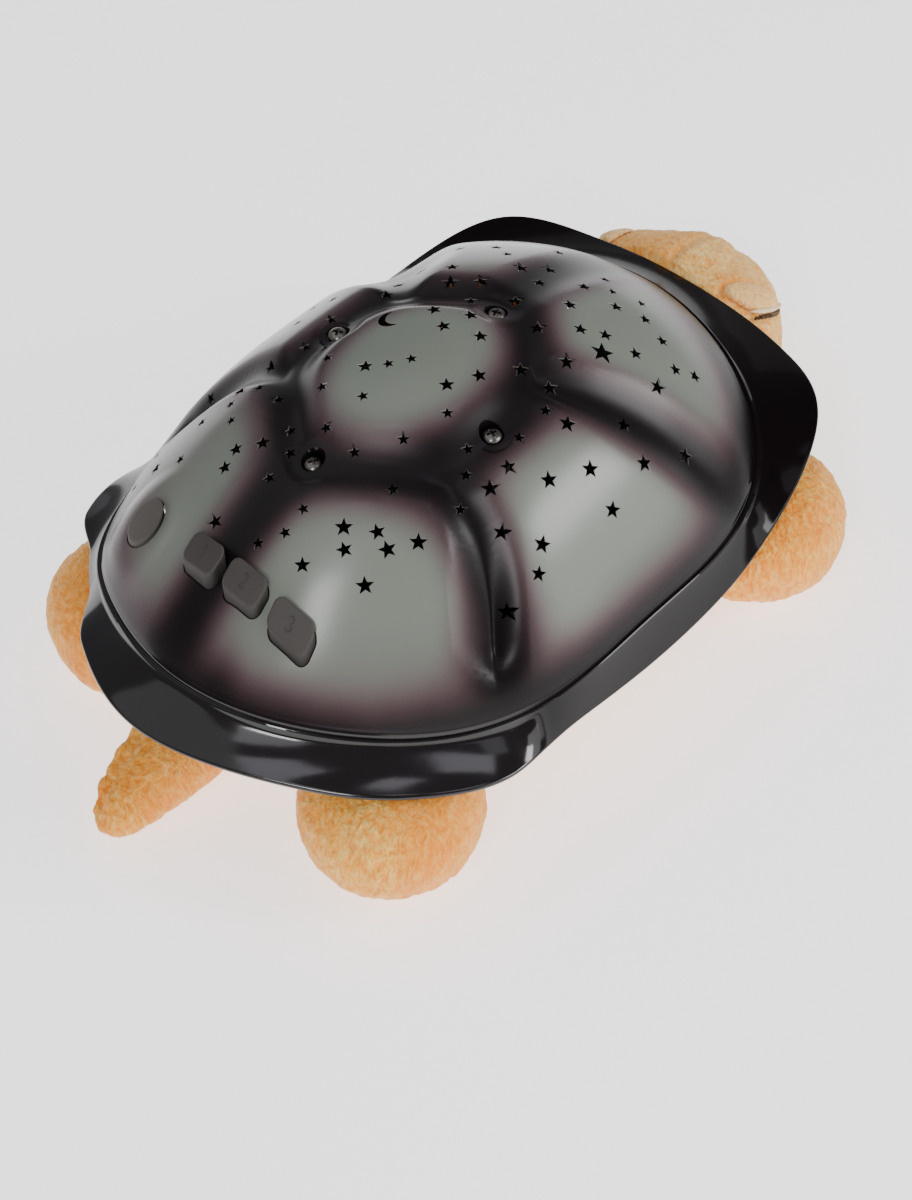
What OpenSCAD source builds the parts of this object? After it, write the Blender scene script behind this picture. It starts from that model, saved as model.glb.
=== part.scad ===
// Turtle star night light: plush body, domed star-cut shell, lamp and battery unit.
// +X towards the head, +Z up, the feet stand on z = 0, millimetres.

/* [Shell] */
// Height of the dome's top above the floor
dome_top = 121.7; // [119:0.1:123]
// Wall thickness of the shell moulding
shell_wall = 2.2; // [2:0.1:2.4]
// Depth of the groove round the centre scute
ring_depth = 3.4; // [2.5:0.1:4]
// Depth of the grooves between the side scutes
side_depth = 4.6; // [3:0.1:5.5]
// Tip radius of the smallest stars
star_small = 1.8; // [1.5:0.1:2]
// Tip radius of the middle stars
star_mid = 2.3; // [2:0.1:2.5]
// Tip radius of the large stars
star_large = 2.7; // [2.5:0.1:3]
// Tip radius of the one biggest star
star_big = 3.8; // [3.3:0.1:4.2]
// Diameter of the screw recesses
recess_d = 8.8; // [8:0.1:9.5]

/* [Buttons] */
// How far the colour buttons stand above the shell
cap_rise = 4.6; // [3.5:0.1:5.5]
// How far the power button stands above the shell
power_rise = 2.2; // [1.5:0.1:3]
// Diameter of the power button
power_d = 12.6; // [11.5:0.1:13]
// Width of a colour button along the rim
cap_w = 14; // [13:0.1:14.6]
// Depth of a colour button down the slope, in plan
cap_l = 8.4; // [7.5:0.1:9]
// Gap round each button in its opening
cap_gap = 0.4; // [0.35:0.05:0.5]

/* [Base] */
// Outside length of the tub
tub_l = 128; // [126:1:129]
// Outside width of the tub
tub_w = 100; // [98:1:101]
// Wall of the tub
tub_wall = 2.4; // [2:0.1:2.6]
// Gap between a hinge pin and its bore
hinge_gap = 0.05; // [0.03:0.01:0.08]

/* [Plush] */
// Radius of the feet
foot_r = 31; // [29:0.5:31]
// Height of the feet
foot_h = 47; // [45:0.5:47.5]
// Half width of the head
head_ry = 41; // [38:0.5:42]

/* [Hidden] */
$fn = 48;
sx = -10.8;                 // shell centre against the middle of the whole toy

c_shell = [0.07, 0.06, 0.07];
c_abs = [0.85, 0.84, 0.8];
c_plush = [0.93, 0.7, 0.42];
c_btn = [0.26, 0.24, 0.22];
c_steel = [0.7, 0.7, 0.72];

// ---- shell surface -------------------------------------------------------
// bead line at the foot of the dome: radius and height round the turtle
function rc(t) = 99 + 11 * cos(2 * t) - 2 * cos(3 * t) - 1.5 * cos(4 * t) - 1.5 * cos(5 * t)
  + 0.5 * cos(6 * t);
function zc(t) = 62.5 + 4 * cos(t) + 6.5 * cos(2 * t) + 3 * cos(4 * t);
// rim of the flared skirt
function rs(t) = 113 + 1.5 * cos(t) + 18 * cos(2 * t) + cos(3 * t) - 3.5 * cos(4 * t)
  - 2.5 * cos(5 * t) + 0.5 * cos(6 * t) - 1.3 * cos(7 * t) + 0.6 * cos(8 * t) + 0.6 * cos(9 * t)
  + 0.5 * cos(10 * t);
function zs(t) = 52.5 + 3.5 * cos(t) + 8.5 * cos(2 * t) - 1.5 * cos(4 * t) - 3 * cos(5 * t);
// dome without grooves
function env(x, y) = let (t = atan2(y, x), q = min(norm([x, y]) / rc(t), 1),
  w = pow(max(1 - pow(q, 2.15), 0), 0.855)) zc(t) + (dome_top - zc(t)) * w;
// distance from p to the line a-b
function seg(p, a, b) = let (k = max(0, min(1, ((p - a) * (b - a)) / ((b - a) * (b - a)))))
  norm(p - a - k * (b - a));
function line_d(p, l) = min([for (i = [0 : len(l) - 2]) seg(p, l[i], l[i + 1])]);
groove_a = [[18, 28], [30, 41], [43, 56], [57, 77]];
groove_b = [[-27, 29], [-31, 45], [-36, 62], [-42, 76], [-46, 86]];
function bell(d, w) = 1 / (1 + pow(d / w, 4));
function ring_d(x, y) = let (u = (x + 9) / 41, v = y / 32,
  s = pow(pow(abs(u), 2.4) + pow(abs(v), 2.4), 1 / 2.4), r = norm([x + 9, y]))
  s < 0.05 ? 30 : abs(s - 1) * r / s;
function grooves(x, y) = let (p = [x, abs(y)], r = norm(p),
  a = ring_depth * bell(ring_d(x, y), 6),
  b = side_depth * bell(line_d(p, groove_a), 6.5),
  c = (side_depth - 0.6 + 4 * pow(min(r / 90, 1), 4)) * bell(line_d(p, groove_b), 6.5),
  d = 3 * bell(seg(p, [34, 0], [120, 0]), 9),
  e = 3 * bell(seg(p, [-52, 0], [-120, 0]), 9))
  pow(pow(a, 4) + pow(b, 4) + pow(c, 4) + pow(d, 4) + pow(e, 4), 0.25);
function fade(q) = pow(max(1 - pow(q, 10), 0), 0.6);
function zt(x, y) = let (q = norm([x, y]) / rc(atan2(y, x))) env(x, y) - fade(q) * grooves(x, y);

// ---- shell grid ----------------------------------------------------------
seg_n = 76;
dome_n = 17;
skirt_n = 4;
function ang(j) = 360 * j / seg_n;
function dome_q(i) = pow(i / dome_n, 0.9);
function dome_pt(q, t) = let (r = rc(t) * q) [r * cos(t), r * sin(t), zt(r * cos(t), r * sin(t))];
function skirt_pt(u, t) = let (r0 = rc(t) + 1.4, z0 = zc(t) - 0.4, r = r0 + (rs(t) - r0) * u,
  sag = 0.1 * (rs(t) - r0)) [r * cos(t), r * sin(t), z0 + (zs(t) - z0) * pow(u, 0.8) - sag * sin(180 * u)];
// ring k of the outer face: dome rings first, then the skirt
function outer_pt(k, t) = k <= dome_n ? dome_pt(dome_q(k), t) : skirt_pt((k - dome_n - 1) / skirt_n, t);
rings = dome_n + skirt_n + 1;
function unit(v) = v / norm(v);
function nrm(k, j) = let (t = ang(j), a = outer_pt(min(k + 1, rings), t), b = outer_pt(max(k - 1, 1), t),
  c = outer_pt(k, t + 1), d = outer_pt(k, t - 1)) unit(cross(a - b, c - d));
outer = [for (k = [1 : rings], j = [0 : seg_n - 1]) outer_pt(k, ang(j))];
inner = [for (k = [1 : rings], j = [0 : seg_n - 1]) outer[(k - 1) * seg_n + j] - shell_wall * nrm(k, j)];
top_o = [0, 0, zt(0.01, 0)];
module shell_skin() {
  n = rings * seg_n;
  polyhedron(points = concat(outer, inner, [top_o, top_o - [0, 0, shell_wall]]),
    faces = concat(
      [for (j = [0 : seg_n - 1]) [2 * n, (j + 1) % seg_n, j]],
      [for (k = [0 : rings - 2], j = [0 : seg_n - 1]) let (a = k * seg_n + j, b = k * seg_n + (j + 1) % seg_n)
        each [[a, b, b + seg_n], [a, b + seg_n, a + seg_n]]],
      [for (j = [0 : seg_n - 1]) [2 * n + 1, n + j, n + (j + 1) % seg_n]],
      [for (k = [0 : rings - 2], j = [0 : seg_n - 1]) let (a = n + k * seg_n + j, b = n + k * seg_n + (j + 1) % seg_n)
        each [[a, b + seg_n, b], [a, a + seg_n, b + seg_n]]],
      [for (j = [0 : seg_n - 1]) let (a = (rings - 1) * seg_n + j, b = (rings - 1) * seg_n + (j + 1) % seg_n)
        each [[a, b, b + n], [a, b + n, a + n]]]));
}

// ---- stars: [x, y, size 1-3], placed scute by scute ----------------------
stars_centre = [[17, 12, 2], [23, 2, 2], [13, 4, 2], [18, -7, 2], [6, -18, 2], [-4, -14, 2],
  [-11, -21, 1], [-4, 1, 1], [-10, 5, 1], [-15, 10, 2], [-24, 2, 1], [-28, 16, 1], [-18, 24, 1],
  [-26, -17, 1], [-38, 4, 1], [-12, 32, 1]];
stars_front_right = [[42, 1, 2], [36, -14, 2], [33, -29, 2], [20, -22, 2], [23, -31, 2],
  [66, -6, 2], [78, -4, 1], [74, -11, 1], [53, -12, 2], [68, -18, 2], [80, -18, 1], [74, -25, 2],
  [47, -22, 2], [53, -27, 2], [57, -36, 2], [72, -34, 2], [67, -44, 2], [73, -47, 2],
  [55, -47, 3], [36, -50, 2], [50, -63, 3]];
stars_front_left = [[32, 11, 1], [40, 14, 2], [33, 21, 2], [40, 27, 2], [41, 43, 2], [56, 40, 1],
  [64, 31, 2], [61, 23, 1], [57, 13, 2], [66, 9, 2], [56, 4, 2], [80, 18, 1], [19, 36, 2],
  [29, 41, 2]];
stars_mid_right = [[2, -38, 1], [15, -37, 1], [17, -44, 3], [32, -62, 3], [14, -56, 3], [0, -52, 3],
  [-8, -43, 2], [-17, -44, 3], [13, -66, 3], [-22, -53, 2], [-14, -62, 3], [-20, -66, 2],
  [-33, -65, 3], [-27, -41, 1], [-19, -36, 1], [-13, -31, 1]];
stars_mid_left = [[-2, 56, 1], [1, 43, 1], [9, 61, 1], [12, 54, 1], [-8, 68, 1], [-13, 40, 1],
  [-23, 46, 2], [-32, 68, 1]];
stars_rear_left = [[-43, 15, 1], [-49, 9, 1], [-59, 8, 1], [-36, 28, 1], [-35, 38, 1], [-37, 45, 2],
  [-43, 43, 1], [-40, 60, 1], [-50, 50, 1], [-49, 36, 1], [-46, 67, 1], [-57, 25, 2], [-63, 24, 2],
  [-52, 18, 2], [-64, 45, 1], [-66, 56, 2], [-58, 66, 1], [-70, 64, 1], [-77, 14, 2]];
stars_rear_right = [[-44, -40, 3], [-52, -35, 3], [-51, -30, 2], [-57, -22, 3], [-61, -26, 2],
  [-63, -36, 3], [-72, -19, 2], [-69, -9, 1], [-75, -3, 1], [-61, -9, 1], [-39, -25, 1],
  [-38, -8, 1]];
stars = concat(stars_centre, stars_front_right, stars_front_left, stars_mid_right,
  stars_mid_left, stars_rear_left, stars_rear_right);
big_star = [46, -32];
moon = [4, 22];

function slope(x, y) = [(zt(x + 1, y) - zt(x - 1, y)) / 2, (zt(x, y + 1) - zt(x, y - 1)) / 2];
function env_slope(x, y) = [(env(x + 1, y) - env(x - 1, y)) / 2, (env(x, y + 1) - env(x, y - 1)) / 2];
// stands a child on the shell at x, y, its z along the shell's outward direction
module on_shell(x, y) {
  g = slope(x, y);
  translate([x, y, zt(x, y)]) rotate([0, atan(norm(g)), atan2(-g[1], -g[0])])
    rotate([0, 0, -atan2(-g[1], -g[0])]) children();
}
module star2d(r) polygon([for (i = [0 : 9]) let (a = 47 + 36 * i, q = i % 2 == 0 ? r : r * 0.42) [q * cos(a), q * sin(a)]]);
module star_cut(x, y, r) on_shell(x, y) linear_extrude(9, center = true) star2d(r);
module moon_cut() on_shell(moon[0], moon[1]) linear_extrude(9, center = true) difference() {
  circle(r = 3.3);
  translate([1.4, -0.9]) circle(r = 2.9);
}

// ---- screws that hold the shell: [x, y, seat height] ---------------------
posts = [[-5, 33.4, 108.6], [-5, -33.4, 108.6], [32, 0, 111.6], [-48, 0, 106.6]];
boss_drop = 3.6;

// ---- buttons: [x, y, turn] -----------------------------------------------
btn_p = [-85, 39.5, 0];
btn_1 = [-88.5, 7, -2];
btn_2 = [-88, -10.5, 3];
btn_3 = [-87, -28.5, 8];
btns = [btn_p, btn_1, btn_2, btn_3];
caps = [btn_1, btn_2, btn_3];
plate_z = 61;           // underside of the guide plate
board_z = 52.4;         // underside of the button board
module cap2d(g) offset(r = 2.8 + g) square([cap_l - 5.6, cap_w - 5.6], center = true);
module cap_prism(b, g) translate([b[0], b[1], 0]) rotate([0, 0, b[2]]) linear_extrude(140) cap2d(g);

module shell_cover() color(c_shell) translate([sx, 0, 0]) difference() {
  union() {
    shell_skin();
    for (p = posts) translate([p[0], p[1], p[2] - boss_drop]) cylinder(d = 12, h = boss_drop + 1.4);
  }
  for (p = posts) {
    translate([p[0], p[1], p[2]]) cylinder(d = recess_d, h = 20);
    translate([p[0], p[1], p[2] - 10]) cylinder(d = 3.6, h = 20);
  }
  for (s = stars) star_cut(s[0], s[1], s[2] == 1 ? star_small : s[2] == 2 ? star_mid : star_large);
  star_cut(big_star[0], big_star[1], star_big);
  moon_cut();
  translate([btn_p[0], btn_p[1], 60]) cylinder(d = power_d + 2 * cap_gap, h = 60);
  for (b = caps) translate([b[0], b[1], 66]) rotate([0, 0, b[2]]) linear_extrude(60) cap2d(cap_gap);
}

module shell_screws() color(c_steel) translate([sx, 0, 0]) for (p = posts) translate([p[0], p[1], p[2]])
  difference() {
    union() {
      cylinder(d = 6.2, h = 1.6);
      translate([0, 0, 1.6]) cylinder(d1 = 6.2, d2 = 4.4, h = 0.7);
      translate([0, 0, -14]) cylinder(d = 2.9, h = 14);
    }
    for (r = [0, 90]) rotate([0, 0, r]) translate([-1.7, -0.4, 1]) cube([3.4, 0.8, 3]);
  }

// a sloping cut that leaves everything under the plane through [x, y, z] with the shell's slope
module under_slope(x, y, z) {
  g = env_slope(x, y);
  translate([x, y, z]) rotate([0, atan(norm(g)), atan2(-g[1], -g[0])]) translate([-60, -60, -120])
    cube([120, 120, 120]);
}
module stem(x, y) {
  translate([x, y, 59.6]) cylinder(d = 8, h = 1.1);
  translate([x, y, 60.6]) cylinder(d = 6, h = 6.4);
}
module key(b, rise) color(c_btn) translate([sx, 0, 0]) union() {
  intersection() {
    translate([0, 0, 66]) cap_prism(b, 0);
    under_slope(b[0], b[1], env(b[0], b[1]) + rise);
  }
  stem(b[0], b[1]);
}
module power_button() color(c_btn) translate([sx, 0, 0]) union() {
  intersection() {
    translate([btn_p[0], btn_p[1], 66]) cylinder(d = power_d, h = 40);
    under_slope(btn_p[0], btn_p[1], env(btn_p[0], btn_p[1]) + power_rise);
  }
  stem(btn_p[0], btn_p[1]);
}
module color_button_1() key(btn_1, cap_rise);
module color_button_2() key(btn_2, cap_rise);
module color_button_3() key(btn_3, cap_rise);

module plunger(b) color([0.1, 0.1, 0.1]) translate([sx + b[0], b[1], 56.9]) cylinder(d = 3.4, h = 2.7);
module switch_plunger_power() plunger(btn_p);
module switch_plunger_1() plunger(btn_1);
module switch_plunger_2() plunger(btn_2);
module switch_plunger_3() plunger(btn_3);
// the plunger dips into the switch, so each body has a well for it
module switch_bodies() color([0.2, 0.2, 0.22]) translate([sx, 0, 0]) for (b = btns)
  translate([b[0], b[1], 54]) difference() {
    translate([-3, -3, 0]) cube([6, 6, 3.6]);
    translate([0, 0, 1.2]) cylinder(d = 4, h = 3);
  }

hang = [[-74, -19.5], [-74, 23]];
module board2d(g) difference() {
  union() {
    translate([-94 - g, -36 - g]) square([24 + 2 * g, 78 + 2 * g]);
    translate([-85, 39.5]) circle(r = 4.3 + g);
  }
  translate([-104, -46]) rotate([0, 0, 45]) square([20, 20], center = true);
  translate([-102, 50]) rotate([0, 0, 45]) square([20, 20], center = true);
}
module button_board() color([0.1, 0.35, 0.2]) translate([sx, 0, board_z]) linear_extrude(1.6) difference() {
  board2d(0);
  for (p = hang) translate([p[0], p[1]]) circle(d = 2.8);
}
module button_board_screws() color(c_steel) translate([sx, 0, 0]) for (p = hang)
  translate([p[0], p[1], board_z]) {
    translate([0, 0, -1.5]) cylinder(d = 4.6, h = 1.5);
    cylinder(d = 2.3, h = 6);
  }
feet_f = [[-58, -24], [-58, 24]];
module button_frame() color(c_abs) translate([sx, 0, 0]) difference() {
  union() {
    translate([0, 0, plate_z]) linear_extrude(3) {
      translate([-94, -36]) square([28, 76]);
      translate([-85, 39.5]) circle(r = 6);
    }
    for (p = hang) translate([p[0], p[1], 54]) cylinder(d = 6, h = 8);
    for (p = feet_f) {
      translate([-68, p[1] - 5, 56.4]) cube([15, 10, 2.4]);
      translate([-68, p[1] - 5, 56.4]) cube([2.4, 10, 7]);
    }
  }
  for (b = btns) translate([b[0], b[1], 55]) cylinder(d = 6.12, h = 12);
  for (p = hang) translate([p[0], p[1], 50]) cylinder(d = 2.4, h = 10);
  for (p = feet_f) translate([p[0], p[1], 50]) cylinder(d = 3, h = 10);
  translate([-104, -46, 60]) rotate([0, 0, 45]) translate([-10, -10, 0]) cube([20, 20, 6]);
}
module frame_screws() color(c_steel) translate([sx, 0, 0]) for (p = feet_f)
  translate([p[0], p[1], 58.8]) {
    cylinder(d = 5, h = 1.8);
    translate([0, 0, -8]) cylinder(d = 2.3, h = 8);
  }
module button_ribbon() color([0.8, 0.8, 0.78]) translate([sx, 0, 0]) {
  // flat lead from the button board through the tub's notch down to the main board
  union() {
    translate([-72, 8, 54]) cube([14, 10, 0.8]);
    translate([-58.8, 8, 33.6]) cube([0.8, 10, 21.2]);
    translate([-58.8, 8, 33.6]) cube([17, 10, 0.8]);
  }
}

// ---- tub -----------------------------------------------------------------
tx = 2;
bx = 8;                  // battery bay centre
bay_l = 35.8;            // bay width along X
fl = 10;                 // underside of the tub
module rrect(l, w, r) {
  square([l, w - 2 * r], center = true);
  square([l - 2 * r, w], center = true);
  for (i = [-1, 1], j = [-1, 1]) translate([i * (l / 2 - r), j * (w / 2 - r)]) circle(r = r);
}
post_r = 5;
pivot = [25.6, 11.9];
stand = [[-40, -22], [-40, 22], [18, -22], [18, 22]];
module base_housing() color(c_abs) translate([sx, 0, 0]) difference() {
  union() {
    difference() {
      union() {
        translate([tx, 0, fl]) linear_extrude(46.4) rrect(tub_l, tub_w, 30);
        translate([tx, 0, 50.6]) linear_extrude(2.4) rrect(tub_l + 12, tub_w + 12, 34);
      }
      translate([tx, 0, fl + 2.4]) linear_extrude(50) rrect(tub_l - 2 * tub_wall, tub_w - 2 * tub_wall, 30 - tub_wall);
    }
    for (p = posts) translate([p[0], p[1], fl]) cylinder(r = post_r, h = p[2] - boss_drop - fl);
    // bay box
    translate([bx - bay_l / 2 - 2, -28.4, fl]) cube([bay_l + 4, 58.7, 16.8]);
    // screw boss of the door
    translate([bx, -33, fl]) cylinder(d = 8, h = 12);
    translate([bx - 10.4, -38.4, fl]) cube([20.8, 11, 4.8]);
    for (p = stand) translate([p[0], p[1], fl + 2]) cylinder(d = 6, h = 20);
    for (p = feet_f) translate([p[0], p[1], 44]) cylinder(d = 6, h = 12.4);
  }
  // notch for the flat lead
  translate([-74, 7, 53.4]) cube([20, 12, 6]);
  // bay: open underneath, closed by the door
  difference() {
    translate([bx - bay_l / 2, -26.4, fl - 1]) cube([bay_l, 54.7, 15.8]);
    // blocks behind the fixed contact plates
    for (i = [0 : 2]) translate([cell_x[i] - 4.6, i == 1 ? -27 : 22.9, 15]) cube([9.2, i == 1 ? 4.1 : 6, 12]);
  }
  // ledge for the door's screw tab
  translate([bx - 7.4, -36.8, fl - 1]) cube([14.8, 11, 3.8]);
  translate([bx, -33, fl]) cylinder(d = 3.4, h = 9);
  // hinge bores
  translate([bx - bay_l / 2 - 1.6, pivot[0], pivot[1]]) rotate([0, 90, 0]) cylinder(r = 0.9 + hinge_gap, h = bay_l + 3.2);
  for (p = posts) translate([p[0], p[1], p[2] - 20]) cylinder(d = 3, h = 40);
  for (p = stand) translate([p[0], p[1], 22]) cylinder(d = 2.4, h = 20);
  for (p = feet_f) translate([p[0], p[1], 47]) cylinder(d = 2.4, h = 20);
  // lead slots from the bay to the tub
  for (x = [12, 21.5]) translate([x - 1.2, 22.7, 20]) cube([2.4, 9, 2.4]);
}

module battery_door() color(c_abs) translate([sx, 0, 0]) difference() {
  union() {
    translate([bx - 17.5, -26, fl]) cube([35, 51, 2.4]);
    translate([bx - 7, -36.4, fl]) cube([14, 11, 2.4]);
    translate([bx - 17.5, pivot[0], pivot[1]]) rotate([0, 90, 0]) cylinder(r = 1.9, h = 35);
    translate([bx - 19.1, pivot[0], pivot[1]]) rotate([0, 90, 0]) cylinder(r = 0.9, h = 38.2);
  }
  translate([bx, -33, fl - 1]) cylinder(d = 2.7, h = 6);
  translate([bx, -33, fl - 1]) cylinder(d = 5.6, h = 2.3);
  // grip ribs
  for (i = [0 : 4]) translate([bx - 8, -19 + 2.4 * i, fl - 0.4]) cube([16, 1, 0.9]);
}
module battery_door_screw() color(c_steel) translate([sx, 0, 0]) difference() {
  union() {
    translate([bx, -33, fl]) cylinder(d = 5.2, h = 1.3);
    translate([bx, -33, fl + 1.3]) cylinder(d = 2.4, h = 4.4);
  }
  translate([bx - 3, -33.4, fl - 1]) cube([6, 0.8, 1.7]);
}

cell_x = [bx - 11.2, bx, bx + 11.2];
module battery_cells() color([0.2, 0.22, 0.25]) translate([sx, 0, 0]) for (i = [0 : 2]) let (s = i == 1 ? -1 : 1)
  translate([cell_x[i], 0, 18.4]) rotate([-90 * s, 0, 0]) {
    translate([0, 0, -22.2]) cylinder(d = 10.4, h = 43.2);
    translate([0, 0, 21]) cylinder(d = 3.8, h = 1.1);
  }
// the spring end of each cell, the plate end opposite
module battery_springs() color(c_steel) translate([sx, 0, 0]) for (i = [0 : 2]) let (s = i == 1 ? -1 : 1)
  translate([cell_x[i], -s * 22.4, 18.4]) rotate([90 * s, 0, 0]) for (k = [0 : 3])
    translate([0, 0, 0.4 + 0.75 * k]) rotate_extrude() translate([2.4 + 0.45 * k, 0]) circle(r = 0.45, $fn = 16);
module battery_plates() color(c_steel) translate([sx, 0, 0]) for (i = [0 : 2]) let (s = i == 1 ? -1 : 1) {
  translate([cell_x[i] - 4.6, s > 0 ? 22.3 : -22.8, 14]) cube([9.2, 0.5, 9]);
  translate([cell_x[i] - 4.6, s > 0 ? -26.3 : 25.8, 14]) cube([9.2, 0.5, 9]);
}

// ---- electronics on the main board ---------------------------------------
mb = 32;
module main_board() color([0.1, 0.35, 0.2]) translate([sx, 0, mb]) difference() {
  translate([-44, -26, 0]) cube([66, 52, 1.6]);
  for (p = stand) translate([p[0], p[1], -1]) cylinder(d = 2.8, h = 4);
  // notch round the rear shell post
  translate([posts[3][0], posts[3][1], -1]) cylinder(r = post_r + 1, h = 4);
}
module board_screws() color(c_steel) translate([sx, 0, mb + 1.6]) for (p = stand) translate([p[0], p[1], 0]) {
  cylinder(d = 4.6, h = 1.6);
  translate([0, 0, -8]) cylinder(d = 2.3, h = 8);
}
module controller_chip() color([0.06, 0.06, 0.07]) translate([sx - 32, 7, mb + 1.6]) {
  translate([-5, -3.5, 0.3]) cube([10, 7, 2.2]);
}
module resistors() color([0.8, 0.72, 0.55]) translate([sx, 0, mb + 1.6]) for (i = [0 : 3])
  translate([-25 + 3.5 * i, -18, 1.1]) rotate([90, 0, 0]) cylinder(d = 2.1, h = 6.2, center = true);
module capacitor() color([0.12, 0.14, 0.3]) translate([sx - 33, -14, mb + 1.6]) cylinder(d = 6.3, h = 9);
leds = [[-2, 0], [-11, 5.2], [-11, -5.2]];
module led_post() color(c_abs) translate([sx, 0, mb + 1.6]) difference() {
  union() {
    translate([-8, 0, 0]) cylinder(r = 10.5, h = 3);
    translate([-8, 0, 0]) cylinder(r = 9.6, h = 26);
  }
  for (p = leds) translate([p[0], p[1], 20]) cylinder(d = 6.2, h = 8);
  translate([-8, 0, -1]) cylinder(r = 2, h = 22);
}
module led(p) translate([sx + p[0], p[1], mb + 21.6]) union() {
  cylinder(d = 5.8, h = 1);
  cylinder(d = 5, h = 9);
  translate([0, 0, 9]) sphere(d = 5);
}
module led_blue() color([0.3, 0.45, 0.95]) led(leds[0]);
module led_green() color([0.35, 0.85, 0.45]) led(leds[1]);
module led_amber() color([0.98, 0.65, 0.2]) led(leds[2]);
module wire(pts, d) for (i = [0 : len(pts) - 2]) let (a = pts[i], b = pts[i + 1], v = b - a) union() {
  translate(a) rotate([0, acos(v[2] / norm(v)), atan2(v[1], v[0])]) cylinder(d = d, h = norm(v), $fn = 24);
  translate(a) sphere(d = d, $fn = 24);
}
module battery_lead_red() color([0.75, 0.1, 0.1]) translate([sx, 0, 0]) union()
  wire([[21.5, 23.6, 21.2], [21.5, 34, 21.2], [21.5, 34, 37], [20, 14, 37], [20, 14, 34.4]], 1.3);
module battery_lead_black() color([0.08, 0.08, 0.09]) translate([sx, 0, 0]) union()
  wire([[12, 27, 21.2], [12, 34, 21.2], [12, 34, 37], [12, 14, 37], [12, 14, 34.4]], 1.3);

// ---- plush body ----------------------------------------------------------
// round padded section: half height b, nose radius a, computed point by point
function pad_pt(a, b, e, t) = [a * pow(abs(cos(t)), 2 / e) * sign(cos(t)), b * pow(abs(sin(t)), 2 / e) * sign(sin(t))];
foot_c = [[-82, 59.5], [-82, -59.5], [85, 66], [85, -66]];
module foot(i) color(c_plush) translate([sx + foot_c[i][0], foot_c[i][1], 0]) pad_foot();
module pad_foot() rotate_extrude() polygon(concat(
  [[0, 0], [foot_r * 0.3, 0]],
  [for (i = [2 : 17]) let (t = -90 + 10 * i, m = 0.51 * foot_h, p = pad_pt(foot_r, t < 0 ? m : foot_h - m, 2.3, t)) [p[0], p[1] + m]],
  [[0, foot_h]]));
module plush_foot_rear_left() foot(0);
module plush_foot_rear_right() foot(1);
module plush_foot_front_left() foot(2);
module plush_foot_front_right() foot(3);
// belly: a stuffed bowl under the shell with the tub let into it, its lip turned up inside the rim
module plush_torso() color(c_plush) translate([sx, 0, 0]) difference() {
  scale([1.25, 1, 1]) rotate_extrude($fn = 64) polygon([[30, 8], [54, 8], [61, 9.6], [67, 13.5],
    [72, 20], [76, 28], [79.5, 36], [81.6, 43], [82, 49], [81.4, 54], [79, 57], [75, 58], [30, 58]]);
  translate([tx, 0, 0]) linear_extrude(60) rrect(tub_l + 0.8, tub_w + 0.8, 30.4);
  translate([tx, 0, 50]) linear_extrude(10) rrect(tub_l + 13, tub_w + 13, 34.5);
  translate([-97, -48, 49.6]) cube([60, 96, 20]);
  for (c = foot_c) translate([c[0], c[1], -1]) cylinder(r = foot_r + 0.5, h = 60);
  translate([102, -60, -1]) cube([20, 120, 60]);
  translate([-122, -60, -1]) cube([20, 120, 60]);
}
head_c = [136, 13, 32];
head_turn = 8;
module head_ball(g) translate(head_c) rotate([0, 0, head_turn]) scale([32 + g, head_ry + g, 31 + g] / 40) sphere(r = 40);
module plush_head() color(c_plush) translate([sx, 0, 0]) difference() {
  head_ball(0);
  translate([52, -60, -10]) cube([50.5, 120, 120]);
  // pressed down under the shell's front rim
  front_rim_gap();
}
// the left lid sits a little lower and further forward than the right one
module on_face(s) translate(head_c) rotate([0, 0, head_turn + (s > 0 ? 72 : -86)])
  rotate([0, s > 0 ? 70 : 58, 0]) rotate([0, 0, s * 35]) children();
module front_rim_gap() translate([80, -60, 56]) cube([51.6, 120, 40]);
module eyelid(s) color([0.97, 0.83, 0.62]) translate([sx, 0, 0]) intersection() {
  difference() {
    head_ball(1.6);
    head_ball(0.1);
    front_rim_gap();
  }
  on_face(s) cylinder(r = 11, h = 60);
  on_face(s) translate([-20, -20, 0]) cube([20, 40, 60]);
}
module eyelid_left() eyelid(1);
module eyelid_right() eyelid(-1);
module eye_seam(s) color([0.16, 0.08, 0.05]) translate([sx, 0, 0]) intersection() {
  difference() {
    head_ball(1.4);
    head_ball(0.1);
    front_rim_gap();
  }
  on_face(s) translate([3.6, -10, 0]) cube([1.8, 20, 60]);
}
module eye_seam_left() eye_seam(1);
module eye_seam_right() eye_seam(-1);
module plush_tail() color(c_plush) translate([sx - 102.5, 8.5, 23]) rotate([0, -103, 0]) rotate_extrude()
  polygon([[0, 0], [15, 0], [15.6, 6], [14.8, 14], [13, 23], [10.8, 32], [8.6, 38], [6, 42], [3, 44.4], [0, 45]]);

shell_cover();
shell_screws();
power_button();
color_button_1();
color_button_2();
color_button_3();
switch_plunger_power();
switch_plunger_1();
switch_plunger_2();
switch_plunger_3();
switch_bodies();
button_board();
button_board_screws();
button_frame();
frame_screws();
button_ribbon();
base_housing();
main_board();
board_screws();
controller_chip();
resistors();
capacitor();
led_post();
led_blue();
led_green();
led_amber();
battery_door();
battery_door_screw();
battery_cells();
battery_springs();
battery_plates();
battery_lead_red();
battery_lead_black();
plush_torso();
plush_head();
plush_foot_front_left();
plush_foot_front_right();
plush_foot_rear_left();
plush_foot_rear_right();
plush_tail();
eyelid_left();
eyelid_right();
eye_seam_left();
eye_seam_right();
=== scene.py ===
import bpy, bmesh, math
import numpy as np
from mathutils import Vector, Matrix


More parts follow.
